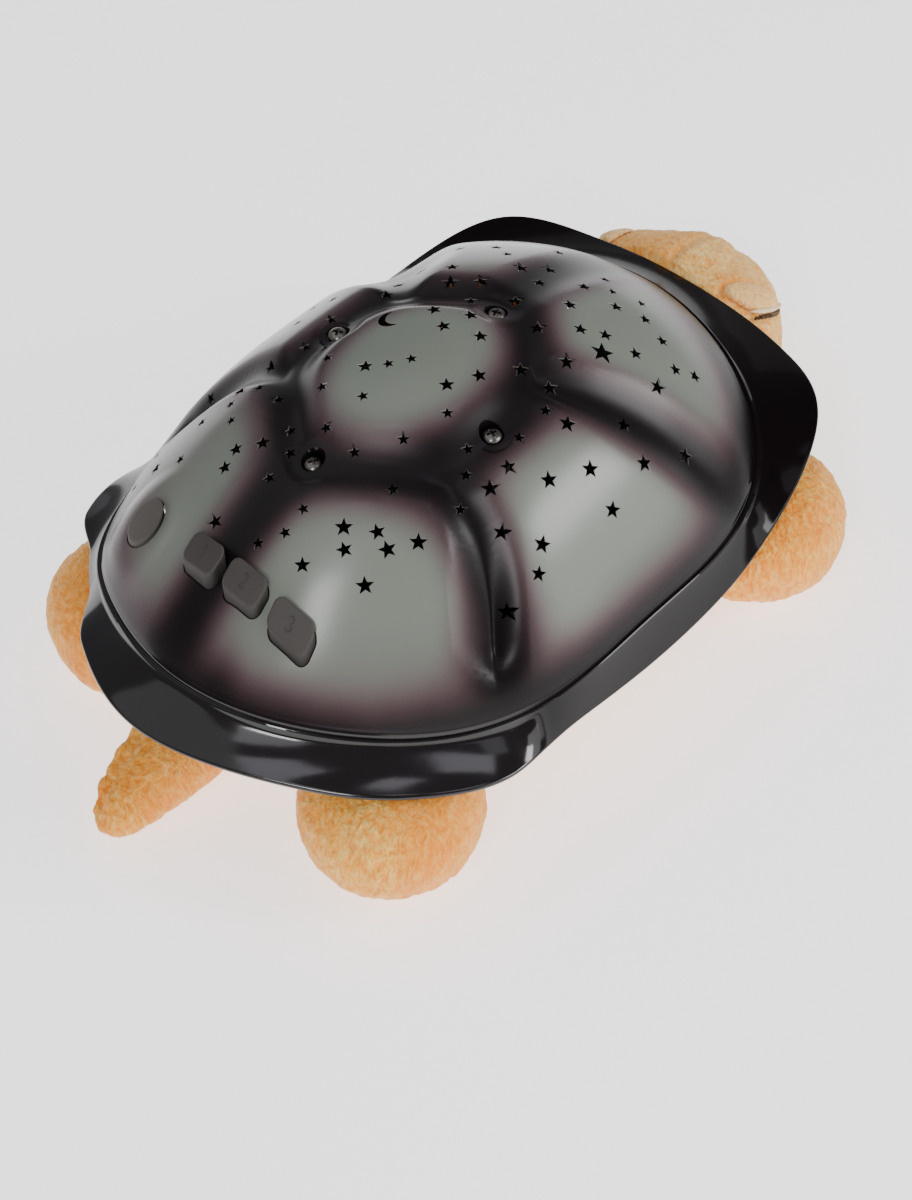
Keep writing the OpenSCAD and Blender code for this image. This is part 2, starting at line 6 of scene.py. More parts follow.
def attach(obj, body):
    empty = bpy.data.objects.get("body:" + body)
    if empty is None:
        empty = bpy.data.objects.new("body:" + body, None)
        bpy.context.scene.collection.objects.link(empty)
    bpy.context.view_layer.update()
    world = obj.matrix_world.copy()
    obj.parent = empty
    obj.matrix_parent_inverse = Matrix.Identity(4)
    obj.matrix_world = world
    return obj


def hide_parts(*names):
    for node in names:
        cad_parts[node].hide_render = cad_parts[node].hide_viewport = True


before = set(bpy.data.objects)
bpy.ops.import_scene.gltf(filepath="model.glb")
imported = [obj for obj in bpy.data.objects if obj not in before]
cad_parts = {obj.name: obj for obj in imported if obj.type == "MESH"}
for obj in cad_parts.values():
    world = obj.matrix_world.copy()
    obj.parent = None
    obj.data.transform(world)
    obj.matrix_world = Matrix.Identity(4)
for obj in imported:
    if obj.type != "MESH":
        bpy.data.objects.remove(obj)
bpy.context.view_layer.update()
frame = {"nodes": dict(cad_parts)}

MM = 0.001
SX = -10.8                 # the shell's centre in the row frame, mm
RNG = np.random.default_rng(7)
ROOT = "toy_body"

# =============================================================== helpers ====
def mesh_obj(name, verts, faces, scale=MM, shift=(SX, 0, 0), smooth=True):
    v = (np.asarray(verts, float) + np.asarray(shift, float)) * scale
    me = bpy.data.meshes.new(name)
    me.from_pydata([tuple(p) for p in v], [], [tuple(int(i) for i in f) for f in faces])
    me.update()
    ob = bpy.data.objects.new(name, me)
    bpy.context.scene.collection.objects.link(ob)
    if smooth:
        me.polygons.foreach_set("use_smooth", [True] * len(me.polygons))
    return ob


def coords(me):
    a = np.empty(len(me.vertices) * 3)
    me.vertices.foreach_get("co", a)
    return a.reshape(-1, 3)


def set_coords(me, a):
    me.vertices.foreach_set("co", np.ascontiguousarray(a, dtype=float).ravel())
    me.update()


def vnormals(me):
    a = np.empty(len(me.vertices) * 3, dtype=np.float32)
    me.vertex_normals.foreach_get("vector", a)
    return a.reshape(-1, 3).astype(float)


def fix_normals(me):
    bm = bmesh.new(); bm.from_mesh(me)
    bmesh.ops.recalc_face_normals(bm, faces=bm.faces[:])
    bm.to_mesh(me); bm.free(); me.update()


def activate(ob):
    for o in bpy.context.selected_objects:
        o.select_set(False)
    bpy.context.view_layer.objects.active = ob
    ob.select_set(True)


def apply_mod(ob, mod):
    activate(ob)
    bpy.ops.object.modifier_apply(modifier=mod.name)


def boolean(ob, cutter, op="DIFFERENCE", drop=True):
    m = ob.modifiers.new("b", "BOOLEAN")
    m.operation = op
    m.solver = "MANIFOLD"
    m.object = cutter
    apply_mod(ob, m)
    if drop:
        bpy.data.objects.remove(cutter, do_unlink=True)
    return ob


def attr(me, name, vals):
    a = me.attributes.get(name) or me.attributes.new(name, "FLOAT", "POINT")
    a.data.foreach_set("value", np.ascontiguousarray(vals, dtype=np.float32))


def sstep(a, b, x):
    t = np.clip((x - a) / (b - a), 0, 1)
    return t * t * (3 - 2 * t)


def smin(a, b, k):
    return 0.5 * (a + b - np.sqrt((a - b) ** 2 + k * k))


def smax(a, b, k):
    return 0.5 * (a + b + np.sqrt((a - b) ** 2 + k * k))


# ---- smooth lattice noise, seeded, any scale -------------------------------
_G = RNG.standard_normal((32, 32, 32))


def noise3(p, scale, off=0.0):
    q = np.asarray(p, float) / scale + off
    i = np.floor(q).astype(int); f = q - i
    f = f * f * f * (f * (f * 6 - 15) + 10)
    out = 0
    for dx in (0, 1):
        for dy in (0, 1):
            for dz in (0, 1):
                w = (f[:, 0] if dx else 1 - f[:, 0]) * (f[:, 1] if dy else 1 - f[:, 1]) * (f[:, 2] if dz else 1 - f[:, 2])
                out = out + w * _G[(i[:, 0] + dx) % 32, (i[:, 1] + dy) % 32, (i[:, 2] + dz) % 32]
    return out


# ============================================================= materials ====
def new_mat(name):
    m = bpy.data.materials.new(name); m.use_nodes = True
    nt = m.node_tree
    b = nt.nodes.get("Principled BSDF")
    return m, nt, b


def N(nt, kind, **kw):
    n = nt.nodes.new(kind)
    for k, v in kw.items():
        if k in ("inputs",):
            for a, c in v.items():
                n.inputs[a].default_value = c
        else:
            setattr(n, k, v)
    return n


def ramp(nt, stops, fac=None, interp="LINEAR"):
    r = nt.nodes.new("ShaderNodeValToRGB")
    r.color_ramp.interpolation = interp
    e = r.color_ramp.elements
    while len(e) < len(stops):
        e.new(0.5)
    for el, (pos, col) in zip(e, stops):
        el.position = pos
        el.color = tuple(col) + (1.0,) if len(col) == 3 else tuple(col)
    if fac is not None:
        nt.links.new(fac, r.inputs["Fac"])
    return r


def lin(c):
    return tuple((x / 12.92 if x <= 0.04045 else ((x + 0.055) / 1.055) ** 2.4) for x in c)


def rgb8(r, g, b):
    return lin((r / 255.0, g / 255.0, b / 255.0))


def bump_from(nt, bsdf, height, strength, dist, prev=None):
    b = N(nt, "ShaderNodeBump")
    b.inputs["Strength"].default_value = strength
    b.inputs["Distance"].default_value = dist
    nt.links.new(height, b.inputs["Height"])
    if prev is not None:
        nt.links.new(prev, b.inputs["Normal"])
    nt.links.new(b.outputs["Normal"], bsdf.inputs["Normal"])
    return b.outputs["Normal"]


def objcoord(nt, scale=(1, 1, 1)):
    tc = N(nt, "ShaderNodeTexCoord")
    mp = N(nt, "ShaderNodeMapping")
    mp.inputs["Scale"].default_value = scale
    nt.links.new(tc.outputs["Object"], mp.inputs["Vector"])
    return mp.outputs["Vector"]


def noise_node(nt, vec, scale, detail=2.0, rough=0.5):
    n = N(nt, "ShaderNodeTexNoise")
    n.inputs["Scale"].default_value = scale
    n.inputs["Detail"].default_value = detail
    n.inputs["Roughness"].default_value = rough
    nt.links.new(vec, n.inputs["Vector"])
    return n


def mixcol(nt, fac, a, b, mode="MIX"):
    m = N(nt, "ShaderNodeMix", data_type="RGBA", blend_type=mode)
    if hasattr(fac, "is_linked"):
        nt.links.new(fac, m.inputs["Factor"])
    else:
        m.inputs["Factor"].default_value = fac
    for sock, val in (("A", a), ("B", b)):
        s = [i for i in m.inputs if i.name == sock and i.type == "RGBA"][0]
        if hasattr(val, "is_linked"):
            nt.links.new(val, s)
        else:
            s.default_value = tuple(val) + (1.0,)
    return [o for o in m.outputs if o.type == "RGBA"][0]


def plastic(name, col, rough=0.45, var=0.06, bump=0.15, grain=900.0, spec=0.5, coat=0.0, metal=0.0, dust=0.0):
    m, nt, b = new_mat(name)
    vec = objcoord(nt)
    n1 = noise_node(nt, vec, 38.0, 3.0)
    lo = tuple(max(0.0, c * (1 - var)) for c in col); hi = tuple(min(1.0, c * (1 + var)) for c in col)
    r = ramp(nt, [(0.3, lo), (0.7, hi)], n1.outputs["Fac"])
    nt.links.new(r.outputs["Color"], b.inputs["Base Color"])
    n2 = noise_node(nt, vec, grain, 2.0)
    mr = N(nt, "ShaderNodeMapRange")
    mr.inputs["To Min"].default_value = max(0.02, rough - 0.06); mr.inputs["To Max"].default_value = rough + 0.06
    nt.links.new(n2.outputs["Fac"], mr.inputs["Value"])
    nt.links.new(mr.outputs["Result"], b.inputs["Roughness"])
    b.inputs["Specular IOR Level"].default_value = spec
    b.inputs["Metallic"].default_value = metal
    if coat:
        b.inputs["Coat Weight"].default_value = coat
        b.inputs["Coat Roughness"].default_value = 0.08
    if bump:
        bump_from(nt, b, n2.outputs["Fac"], bump, 0.0002)
    return m


def shell_material():
    """airbrushed gloss: pearl grey-green patches, purple-brown halo, black valleys"""
    m, nt, b = new_mat("shell_paint")
    vec = objcoord(nt)
    at = N(nt, "ShaderNodeAttribute", attribute_name="paint")
    nz = noise_node(nt, vec, 75.0, 3.0, 0.6)
    fine = noise_node(nt, vec, 1500.0, 1.0, 0.5)
    # the spray's edge is a little uneven
    ad = N(nt, "ShaderNodeMath", operation="MULTIPLY_ADD")
    nt.links.new(nz.outputs["Fac"], ad.inputs[0]); ad.inputs[1].default_value = 0.07
    nt.links.new(at.outputs["Fac"], ad.inputs[2])
    ad2 = N(nt, "ShaderNodeMath", operation="MULTIPLY_ADD")
    nt.links.new(fine.outputs["Fac"], ad2.inputs[0]); ad2.inputs[1].default_value = 0.03
    nt.links.new(ad.outputs[0], ad2.inputs[2])
    sb = N(nt, "ShaderNodeMath", operation="MULTIPLY_ADD")
    nt.links.new(ad2.outputs[0], sb.inputs[0]); sb.inputs[1].default_value = 0.93; sb.inputs[2].default_value = -0.045
    r = ramp(nt, [(0.0, rgb8(11, 8, 9)), (0.2, rgb8(24, 16, 18)), (0.4, rgb8(68, 51, 54)),
                  (0.57, rgb8(92, 81, 81)), (0.76, rgb8(107, 109, 103)), (0.94, rgb8(116, 123, 113)),
                  (1.0, rgb8(116, 123, 113))], sb.outputs[0])
    r.color_ramp.interpolation = "B_SPLINE"
    # painted pale rim on the cuts' chamfers: partly a pale burr, partly a painted highlight
    ed = N(nt, "ShaderNodeAttribute", attribute_name="edge")
    col = mixcol(nt, ed.outputs["Fac"], r.outputs["Color"], mixcol(nt, 0.14, r.outputs["Color"], rgb8(200, 198, 190)))
    inn = N(nt, "ShaderNodeAttribute", attribute_name="inner")
    col = mixcol(nt, inn.outputs["Fac"], col, rgb8(5, 4, 5))
    nt.links.new(col, b.inputs["Base Color"])
    dm = N(nt, "ShaderNodeAttribute", attribute_name="dome")
    rr = ramp(nt, [(0.0, (0.32,) * 3), (0.45, (0.27,) * 3), (0.85, (0.2,) * 3)], sb.outputs[0])
    rm = mixcol(nt, dm.outputs["Fac"], (0.11, 0.11, 0.11), rr.outputs["Color"])
    rm = mixcol(nt, inn.outputs["Fac"], rm, (0.75, 0.75, 0.75))
    nt.links.new(rm, b.inputs["Roughness"])
    gl = N(nt, "ShaderNodeAttribute", attribute_name="gloss")
    nt.links.new(gl.outputs["Fac"], b.inputs["Specular IOR Level"])
    bump_from(nt, b, noise_node(nt, vec, 420.0, 2.0).outputs["Fac"], 0.02, 0.0003)
    return m


def plush_material(name, base, dark, pale):
    """short brushed pile: streaky nap, darker roots, pale tips, soft sheen"""
    m, nt, b = new_mat(name)
    at = N(nt, "ShaderNodeAttribute", attribute_name="mottle_and_shade")
    tc = N(nt, "ShaderNodeTexCoord")
    # warp so the nap's streaks wander
    wn = noise_node(nt, tc.outputs["Object"], 90.0, 2.0)
    wm = N(nt, "ShaderNodeVectorMath", operation="SCALE"); wm.inputs["Scale"].default_value = 0.006
    nt.links.new(wn.outputs["Color"], wm.inputs[0])
    wa = N(nt, "ShaderNodeVectorMath", operation="ADD")
    nt.links.new(tc.outputs["Object"], wa.inputs[0]); nt.links.new(wm.outputs[0], wa.inputs[1])
    mp = N(nt, "ShaderNodeMapping"); mp.inputs["Scale"].default_value = (1.0, 1.0, 0.42)
    mp.inputs["Rotation"].default_value = (0.5, 0.35, 0.0)
    nt.links.new(wa.outputs[0], mp.inputs["Vector"])
    n_f = noise_node(nt, mp.outputs["Vector"], 1250.0, 3.0, 0.6)
    mp2 = N(nt, "ShaderNodeMapping"); mp2.inputs["Scale"].default_value = (1.0, 0.9, 0.3)
    mp2.inputs["Rotation"].default_value = (0.5, 0.35, 0.0)
    nt.links.new(wa.outputs[0], mp2.inputs["Vector"])
    n_m = noise_node(nt, mp2.outputs["Vector"], 620.0, 2.0, 0.55)
    n_l = noise_node(nt, tc.outputs["Object"], 42.0, 3.0, 0.55)
    r = ramp(nt, [(0.34, dark), (0.5, base), (0.66, pale)], n_m.outputs["Fac"])
    r2 = ramp(nt, [(0.28, dark), (0.5, base), (0.78, pale)], n_l.outputs["Fac"])
    c1 = mixcol(nt, 0.36, r.outputs["Color"], r2.outputs["Color"])
    rf = ramp(nt, [(0.3, (0.74, 0.68, 0.62)), (0.62, (1.06, 1.05, 1.04))], n_f.outputs["Fac"])
    c2 = mixcol(nt, 0.85, c1, rf.outputs["Color"], "MULTIPLY")
    # painted shade: where the attribute is high the colour is mixed towards the dark tone; it carries random mottling
    # and painted shade for pile lying the other way and for creases
    c3 = mixcol(nt, at.outputs["Fac"], c2, mixcol(nt, 0.55, c2, dark))
    nt.links.new(c3, b.inputs["Base Color"])
    b.inputs["Roughness"].default_value = 0.92
    b.inputs["Specular IOR Level"].default_value = 0.12
    b.inputs["Sheen Weight"].default_value = 0.6
    b.inputs["Sheen Roughness"].default_value = 0.45
    b.inputs["Sheen Tint"].default_value = (1.0, 0.78, 0.48, 1.0)
    n1 = bump_from(nt, b, n_m.outputs["Fac"], 0.85, 0.0012)
    bump_from(nt, b, n_f.outputs["Fac"], 0.6, 0.0006, n1)
    return m


# ============================================================ shell surface =
RC = [99, 0, 11, -2, -1.5, -1.5, .5]
ZC = [62.5, 4, 6.5, 0, 3.]
# the skirt's rim: plan angle from the front (the sides mirror), radius, height
RIM_R = [(0, 127.6), (12, 129.4), (22, 130.4), (29, 129.6), (35, 126.9), (41, 121.6), (50, 112.2), (60, 103.8), (75, 95.0), (90, 91.6),
         (103, 92.8), (111, 96.4), (117, 101.8), (122.5, 108.0), (128, 112.2), (134, 115), (145, 118.8), (157, 121.6), (168, 126.0), (180, 129.4)]
RIM_Z = [(0, 60.4), (20, 60.4), (33, 63.8), (45, 57.4), (60, 48.6), (90, 43.0), (115, 44.0), (135, 49.8), (157, 54.4), (180, 59)]


def mirror_curve(knots):
    """smooth periodic curve through knots given for one side"""
    a = [k[0] for k in knots] + [360 - k[0] for k in knots[-2:0:-1]]
    v = [k[1] for k in knots] + [k[1] for k in knots[-2:0:-1]]
    a = np.radians(np.array(a, float)); v = np.array(v, float); n = len(a)
    h = np.roll(a, -1) - a; h[-1] += 2 * np.pi
    M = np.zeros((n, n)); R = np.zeros(n)
    for i in range(n):
        hm, hp = h[i - 1], h[i]
        M[i, i - 1] += hm; M[i, i] += 2 * (hm + hp); M[i, (i + 1) % n] += hp
        R[i] = 6 * ((v[(i + 1) % n] - v[i]) / hp - (v[i] - v[i - 1]) / hm)
    m = np.linalg.solve(M, R)

    def f(t):
        t = np.mod(np.asarray(t, float), 2 * np.pi)
        i = np.clip(np.searchsorted(a, t, side="right") - 1, 0, n - 1)
        i2 = (i + 1) % n
        x = t - a[i]; hh = h[i]; y = hh - x
        return (m[i] * y ** 3 + m[i2] * x ** 3) / (6 * hh) + (v[i] / hh - m[i] * hh / 6) * y + (v[i2] / hh - m[i2] * hh / 6) * x
    return f


rim_r0, rim_z = mirror_curve(RIM_R), mirror_curve(RIM_Z)


def rim_r(t):
    """the rim's radius, with the notch it has by the rear left foot"""
    dg = np.degrees(np.mod(t, 2 * np.pi))
    return rim_r0(t) - 6.0 * sstep(15.0, 3.5, np.abs(dg - 146.5))


TOP = 121.7
WALL = 2.2


def ser(c, t):
    return sum(c[k] * np.cos(k * t) for k in range(len(c)))


def rcv(t):
    """radius of the dome's foot: a cosine series, fuller at the rear left"""
    dg = np.degrees(np.mod(t, 2 * np.pi))
    return ser(RC, t) + 5.8 * np.exp(-((dg - 146.0) / 16.0) ** 2)


def env(x, y):
    t = np.arctan2(y, x); rc = rcv(t); zc = ser(ZC, t)
    q = np.minimum(np.hypot(x, y) / rc, 1)
    w = np.maximum(1 - q ** 2.15, 0) ** 0.855
    return zc + (TOP - zc) * w


def pdist(x, y, pts):
    """distance to a polyline, and its side (left of its direction is +)"""
    best = np.full(np.shape(x), 1e9); side = np.zeros(np.shape(x)); along = np.zeros(np.shape(x)); acc = 0.0
    for (ax, ay), (bx, by) in zip(pts[:-1], pts[1:]):
        dx, dy = bx - ax, by - ay; L = math.hypot(dx, dy)
        k = np.clip(((x - ax) * dx + (y - ay) * dy) / (L * L), 0, 1)
        d = np.hypot(x - ax - k * dx, y - ay - k * dy)
        s = (dx * (y - ay) - dy * (x - ax)) / L
        m = d < best
        side = np.where(m, s, side); along = np.where(m, acc + k * L, along)
        best = np.where(m, d, best); acc += L
    return best, side, along


def smooth_line(pts, n=6):
    """Catmull-Rom through the given points, so a valley has no corner"""
    p = [np.array(q, float) for q in pts]
    p = [2 * p[0] - p[1]] + p + [2 * p[-1] - p[-2]]
    out = []
    for i in range(1, len(p) - 2):
        for k in range(n):
            t = k / n
            out.append(0.5 * ((2 * p[i]) + (-p[i - 1] + p[i + 1]) * t + (2 * p[i - 1] - 5 * p[i] + 4 * p[i + 1] - p[i + 2]) * t * t
                              + (-p[i - 1] + 3 * p[i] - 3 * p[i + 1] + p[i + 2]) * t ** 3))
    out.append(p[-2])
    return [tuple(q) for q in out]


GA = smooth_line([(16, 25), (22, 32.5), (30, 41), (43, 56), (57, 77), (63, 88)])
GB = smooth_line([(-24, 27), (-27, 40), (-30, 51), (-35.5, 60), (-42.5, 67.5), (-48.5, 74.5), (-54, 83)])


HEX = [(0.791, 0.612, 28.2), (0.0, 1.0, 33.4), (-0.791, 0.612, 39.6), (-0.791, -0.612, 39.6), (0.0, -1.0, 33.4), (0.791, -0.612, 28.2)]


def ring_sd(x, y):
    """signed distance to the six-sided valley round the centre scute, + outside, corners rounded"""
    k = 3.2
    return k * np.log(sum(np.exp(np.clip((a * x + b * y - d) / k, -60, 60)) for a, b, d in HEX))


def dip(d, w):
    """valley section: rounded floor, sloping walls, soft shoulders"""
    t = np.clip(np.abs(d) / w, 0, 1)
    return (1 - t ** 2.2) ** 1.9


def swale(d, w):
    """a wider, softer section"""
    t = np.clip(np.abs(d) / (1.3 * w), 0, 1)
    return (1 - t * t) ** 3


def grooves(x, y):
    ay = np.abs(y)
    sd = ring_sd(x, y)
    inside = sstep(-1.0, 5.0, sd)              # the valleys stop at the centre scute's wall
    far_ = sstep(-14, 14, y)
    g = [(3.7 + 0.7 * far_) * swale(sd - 0.6, np.where(sd < 0.6, 10.5 - 2.5 * far_, 12.0))]
    da, sa, la = pdist(x, ay, GA)
    wide = sstep(8, 38, la)
    g.append((4.4 + 3.9 * wide * (0.3 + 0.7 * far_)) * swale(da, np.where(sa > 0, 9.0 + (5.0 + 8.0 * far_) * wide, 10.0 + (4.0 + 5.0 * far_) * wide)) * (1 - 0.85 * sstep(50, 86, la)) * inside)
    db, sb, lb = pdist(x, ay, GB)
    far = sstep(16, 46, lb)
    dc = np.sqrt(db ** 2 + 0.7) - 0.83
    fold = np.where(sb > 0, np.clip(1 - dc / 12.0, 0, 1) ** 1.3, np.clip(1 - dc / 10.5, 0, 1) ** 1.35)
    soft = np.where(sb > 0, swale(db, 9.5), swale(db, 11.0))
    g.append((4.0 + 5.8 * far) * (soft + (fold - soft) * far) * (1 - sstep(45, 59, lb)) * inside)
    # front and rear midlines are wide and shallow
    g.append(2.3 * dip(y - 0.12 * np.maximum(x - 30, 0), 13.0) * sstep(22, 40, x) * (1 - 0.6 * sstep(60, 100, x)))
    g.append(2.6 * dip(y - 2.0 * sstep(50, 70, -x), 13.5) * sstep(40, 58, -x) * (1 - 0.5 * sstep(70, 110, -x)))
    g = np.array(g)
    return (np.sum(g ** 3, axis=0)) ** (1 / 3)


PADS = []


def zt0(x, y):
    q = np.hypot(x, y) / rcv(np.arctan2(y, x))
    fade = np.maximum(1 - q ** 12, 0) ** 0.6
    return env(x, y) - fade * grooves(x, y)


def zt(x, y):
    if not PADS:                               # even seats round the screws and the power key
        for px, py in ((-5.0, 33.4), (32.0, 0.0), (-48.0, 0.0)):
            f = lambda a, b: float(zt0(np.array([a]), np.array([b]))[0])
            PADS.append((px, py, f(px, py), (f(px + 6, py) - f(px - 6, py)) / 12, (f(px, py + 6) - f(px, py - 6)) / 12, 4.3, 9.5))
        bx_, by_ = -85.0, 39.5
        PADS.append((bx_, by_, float(zt0(np.array([bx_]), np.array([by_]))[0]), KEY_SLOPE[0], KEY_SLOPE[1], 6.0, 18.5))
    q = np.hypot(x, y) / rcv(np.arctan2(y, x)); near = sstep(1.0, 0.955, q)
    z = zt0(x, y)
    for px, py, pz, gx, gy, r0, r1 in PADS:
        w = sstep(r1, r0, np.hypot(x - px, y - py)) * near
        z = z + (pz + gx * (x - px) + gy * (y - py) - z) * w
    return z


KEY_SLOPE = (0.80, -0.40)


def dome_normal(x, y, h=0.25):
    gx = (zt(x + h, y) - zt(x - h, y)) / (2 * h); gy = (zt(x, y + h) - zt(x, y - h)) / (2 * h)
    n = np.stack([-gx, -gy, np.ones_like(gx)], -1)
    return n / np.linalg.norm(n, axis=1)[:, None]


def skirt_profile(u, t):
    """u 0..1 from the bead to the rim: a short steep wall, then the flare"""
    r0 = rcv(t) + 1.9; z0 = ser(ZC, t) - 1.3
    rs = rim_r(t); zs = rim_z(t)
    W = rs - r0; D = z0 - zs
    # 0 on the narrow sides, 1 on the broad ends, with a fold between them
    dg = np.degrees(np.abs(np.mod(t + np.pi, 2 * np.pi) - np.pi))
    flare = 1 - sstep(52, 60, dg) * sstep(121, 114, dg)
    # wall: short and steep
    drop = 0.27 * D * flare * (1 - 0.6 * sstep(200, 186, np.degrees(np.mod(t, 2 * np.pi))) * sstep(160, 174, np.degrees(np.mod(t, 2 * np.pi))))
    uw = 0.12
    rw = np.where(u < uw, u / uw * 0.04, 0.04 + (u - uw) / (1 - uw) * 0.96)
    rlin = u
    rr = flare * rw + (1 - flare) * rlin
    zw = np.where(u < uw, drop * (u / uw), drop + (D - drop) * (np.maximum(u - uw, 0) / (1 - uw)) ** 0.96)
    zl = D * u ** 0.9
    zz = flare * zw + (1 - flare) * zl
    sag = 0.035 * W * np.sin(np.pi * np.clip(rr, 0, 1))
    r = r0 + W * rr
    return r, z0 - zz - sag


def build_shell():
    nt = 800
    nd = 144
    ns = 40
    t = np.linspace(0, 2 * np.pi, nt, endpoint=False)
    ct, st = np.cos(t), np.sin(t)
    rows = []
    qs = [(i / nd) for i in range(1, nd)] + [0.996, 0.9995]
    for q in qs:
        r = rcv(t) * q
        rows.append(np.stack([r * ct, r * st, zt(r * ct, r * st)], -1))
    rc, zc = rcv(t), ser(ZC, t)
    # bead: the dome ends in a small step, a ledge and a fine round
    for dr, dz in ((0.15, -0.12), (0.32, -0.45), (0.40, -0.85), (0.55, -1.08), (0.85, -1.12), (1.25, -1.0), (1.6, -1.03)):
        r = rc + dr
        rows.append(np.stack([r * ct, r * st, zc + dz], -1))
    for k in range(ns + 1):
        u = (k / ns)
        r, z = skirt_profile(np.full(nt, u), t)
        rows.append(np.stack([r * ct, r * st, z], -1))
    # soften the rows across the wall's foot and bead
    P = np.array(rows)
    a = len(qs) + 7 + 1
    for _ in range(3):
        Q = P.copy(); Q[a:-1] = 0.25 * P[a - 1:-2] + 0.5 * P[a:-1] + 0.25 * P[a + 1:]; P = Q
    n_out = len(P)
    # rim round
    tang = P[-1] - P[-2]; tang /= np.linalg.norm(tang, axis=1)[:, None]
    dj = np.roll(P[-1], -1, 0) - np.roll(P[-1], 1, 0)
    nn = np.cross(tang, dj); nn /= np.linalg.norm(nn, axis=1)[:, None]
    nn *= np.sign(nn[:, 2:3])
    rim = []
    for a_, in [(x,) for x in (20, 45, 70, 90, 110, 135, 160, 180)]:
        c = math.radians(a_)
        rim.append(P[-1] - nn * (WALL / 2) * (1 - math.cos(c)) + tang * (WALL / 2) * 0.8 * math.sin(c))
    # inner face, from the smooth surface
    inner = []
    us = np.linspace(1, 0, 12)
    for u in us[1:]:
        r, z = skirt_profile(np.full(nt, u), t)
        r2, z2 = skirt_profile(np.full(nt, min(1, u + 0.03)), t); r1, z1 = skirt_profile(np.full(nt, max(0, u - 0.03)), t)
        tr, tz = r2 - r1, z2 - z1; L = np.hypot(tr, tz) + 1e-9
        nr, nz_ = -tz / L, tr / L
        sgn = np.sign(nz_); sgn[sgn == 0] = 1
        inner.append(np.stack([(r - sgn * nr * WALL) * ct, (r - sgn * nr * WALL) * st, z - sgn * nz_ * WALL], -1))
    ni = 40
    for i in range(ni - 1, 0, -1):
        q = i / ni * 0.985
        r = rcv(t) * q
        x, y = r * ct, r * st
        nrm = dome_normal(x, y, 0.6)
        nrm[:, 2] = np.maximum(nrm[:, 2], 0.25)
        p = np.stack([x, y, zt(x, y)], -1) - WALL * nrm
        inner.append(p)
    allrows = list(P) + rim + inner
    V = np.concatenate(allrows)
    R = len(allrows)
    top = len(V); V = np.concatenate([V, [[0, 0, float(zt(np.array([0.01]), np.array([0.0]))[0])]]])
    low = len(V); V = np.concatenate([V, [[0, 0, float(zt(np.array([0.01]), np.array([0.0]))[0]) - WALL]]])
    F = []
    for j in range(nt):
        F.append((top, j, (j + 1) % nt))
    for k in range(R - 1):
        a0, b0 = k * nt, (k + 1) * nt
        for j in range(nt):
            j2 = (j + 1) % nt
            F.append((a0 + j, b0 + j, b0 + j2, a0 + j2))
    a0 = (R - 1) * nt
    for j in range(nt):
        F.append((low, a0 + (j + 1) % nt, a0 + j))
    return mesh_obj("shell_skin", V, F)


STARS = [
    # centre
    [17, 12, 2], [23, 2, 2], [13, 4, 2], [18, -7, 2], [6, -18, 2], [-4, -14, 2],
    [-11, -21, 1], [-4, 1, 1], [-10, 5, 1], [-15, 10, 2], [-24, 2, 1], [-28, 16, 1], [-18, 24, 1],
    [-26, -17, 1], [-38, 4, 1], [-12, 32, 1],
    # front right
    [42, 1, 2], [36, -14, 2], [33, -29, 2], [20, -22, 2], [23, -31, 2],
    [66, -6, 2], [78, -4, 1], [74, -11, 1], [53, -12, 2], [68, -18, 2], [80, -18, 1], [74, -25, 2],
    [47, -22, 2], [53, -27, 2], [57, -36, 2], [72, -34, 2], [67, -44, 2], [73, -47, 2],
    [55, -47, 3], [36, -50, 2], [50, -63, 3],
    # front left
    [32, 11, 1], [40, 14, 2], [33, 21, 2], [40, 27, 2], [41, 43, 2], [56, 40, 1],
    [64, 31, 2], [61, 23, 1], [57, 13, 2], [66, 9, 2], [56, 4, 2], [80, 18, 1], [19, 36, 2], [29, 41, 2],
    # middle right
    [2, -38, 1], [15, -37, 1], [17, -44, 3], [32, -62, 3], [14, -56, 3], [0, -52, 3],
    [-8, -43, 2], [-17, -44, 3], [13, -66, 3], [-22, -53, 2], [-14, -62, 3], [-20, -66, 2],
    [-33, -65, 3], [-27, -41, 1], [-19, -36, 1], [-13, -31, 1],
    # middle left
    [-2, 56, 1], [1, 43, 1], [9, 61, 1], [12, 54, 1], [-8, 68, 1], [-13, 40, 1], [-23, 46, 2], [-32, 68, 1],
    # rear left
    [-43, 15, 1], [-49, 9, 1], [-59, 8, 1], [-36, 28, 1], [-35, 38, 1], [-37, 45, 2],
    [-43, 43, 1], [-40, 60, 1], [-50, 50, 1], [-49, 36, 1], [-46, 67, 1], [-57, 25, 2], [-63, 24, 2],
    [-52, 18, 2], [-64, 45, 1], [-66, 56, 2], [-58, 66, 1], [-70, 64, 1], [-77, 14, 2],
    # rear right
    [-44, -40, 3], [-52, -35, 3], [-51, -30, 2], [-57, -22, 3], [-61, -26, 2],
    [-63, -36, 3], [-72, -19, 2], [-69, -9, 1], [-75, -3, 1], [-61, -9, 1], [-39, -25, 1], [-38, -8, 1]]
POSTS = [(-5, 33.4, 108.6), (-5, -33.4, 108.6), (32, 0, 111.6), (-48, 0, 106.6)]
BTN_P = (-85, 39.5, 0)
CAPS = [(-88.5, 7, -2), (-88, -10.5, 3), (-87, -28.5, 8)]
CAP_W, CAP_L, CAP_R, GAP = 14.0, 8.4, 2.8, 0.4


def prism(outlines, levels):
    """closed lofted prism: outlines is a list of n x 2 arrays, one per level"""
    n = len(outlines[0]); V = []; F = []
    for o, z in zip(outlines, levels):
        for p in o:
            V.append((p[0], p[1], z))
    for k in range(len(levels) - 1):
        for j in range(n):
            F.append((k * n + j, k * n + (j + 1) % n, (k + 1) * n + (j + 1) % n, (k + 1) * n + j))
    F.append(tuple(range(n))[::-1]); F.append(tuple((len(levels) - 1) * n + j for j in range(n)))
    return np.array(V, float), F


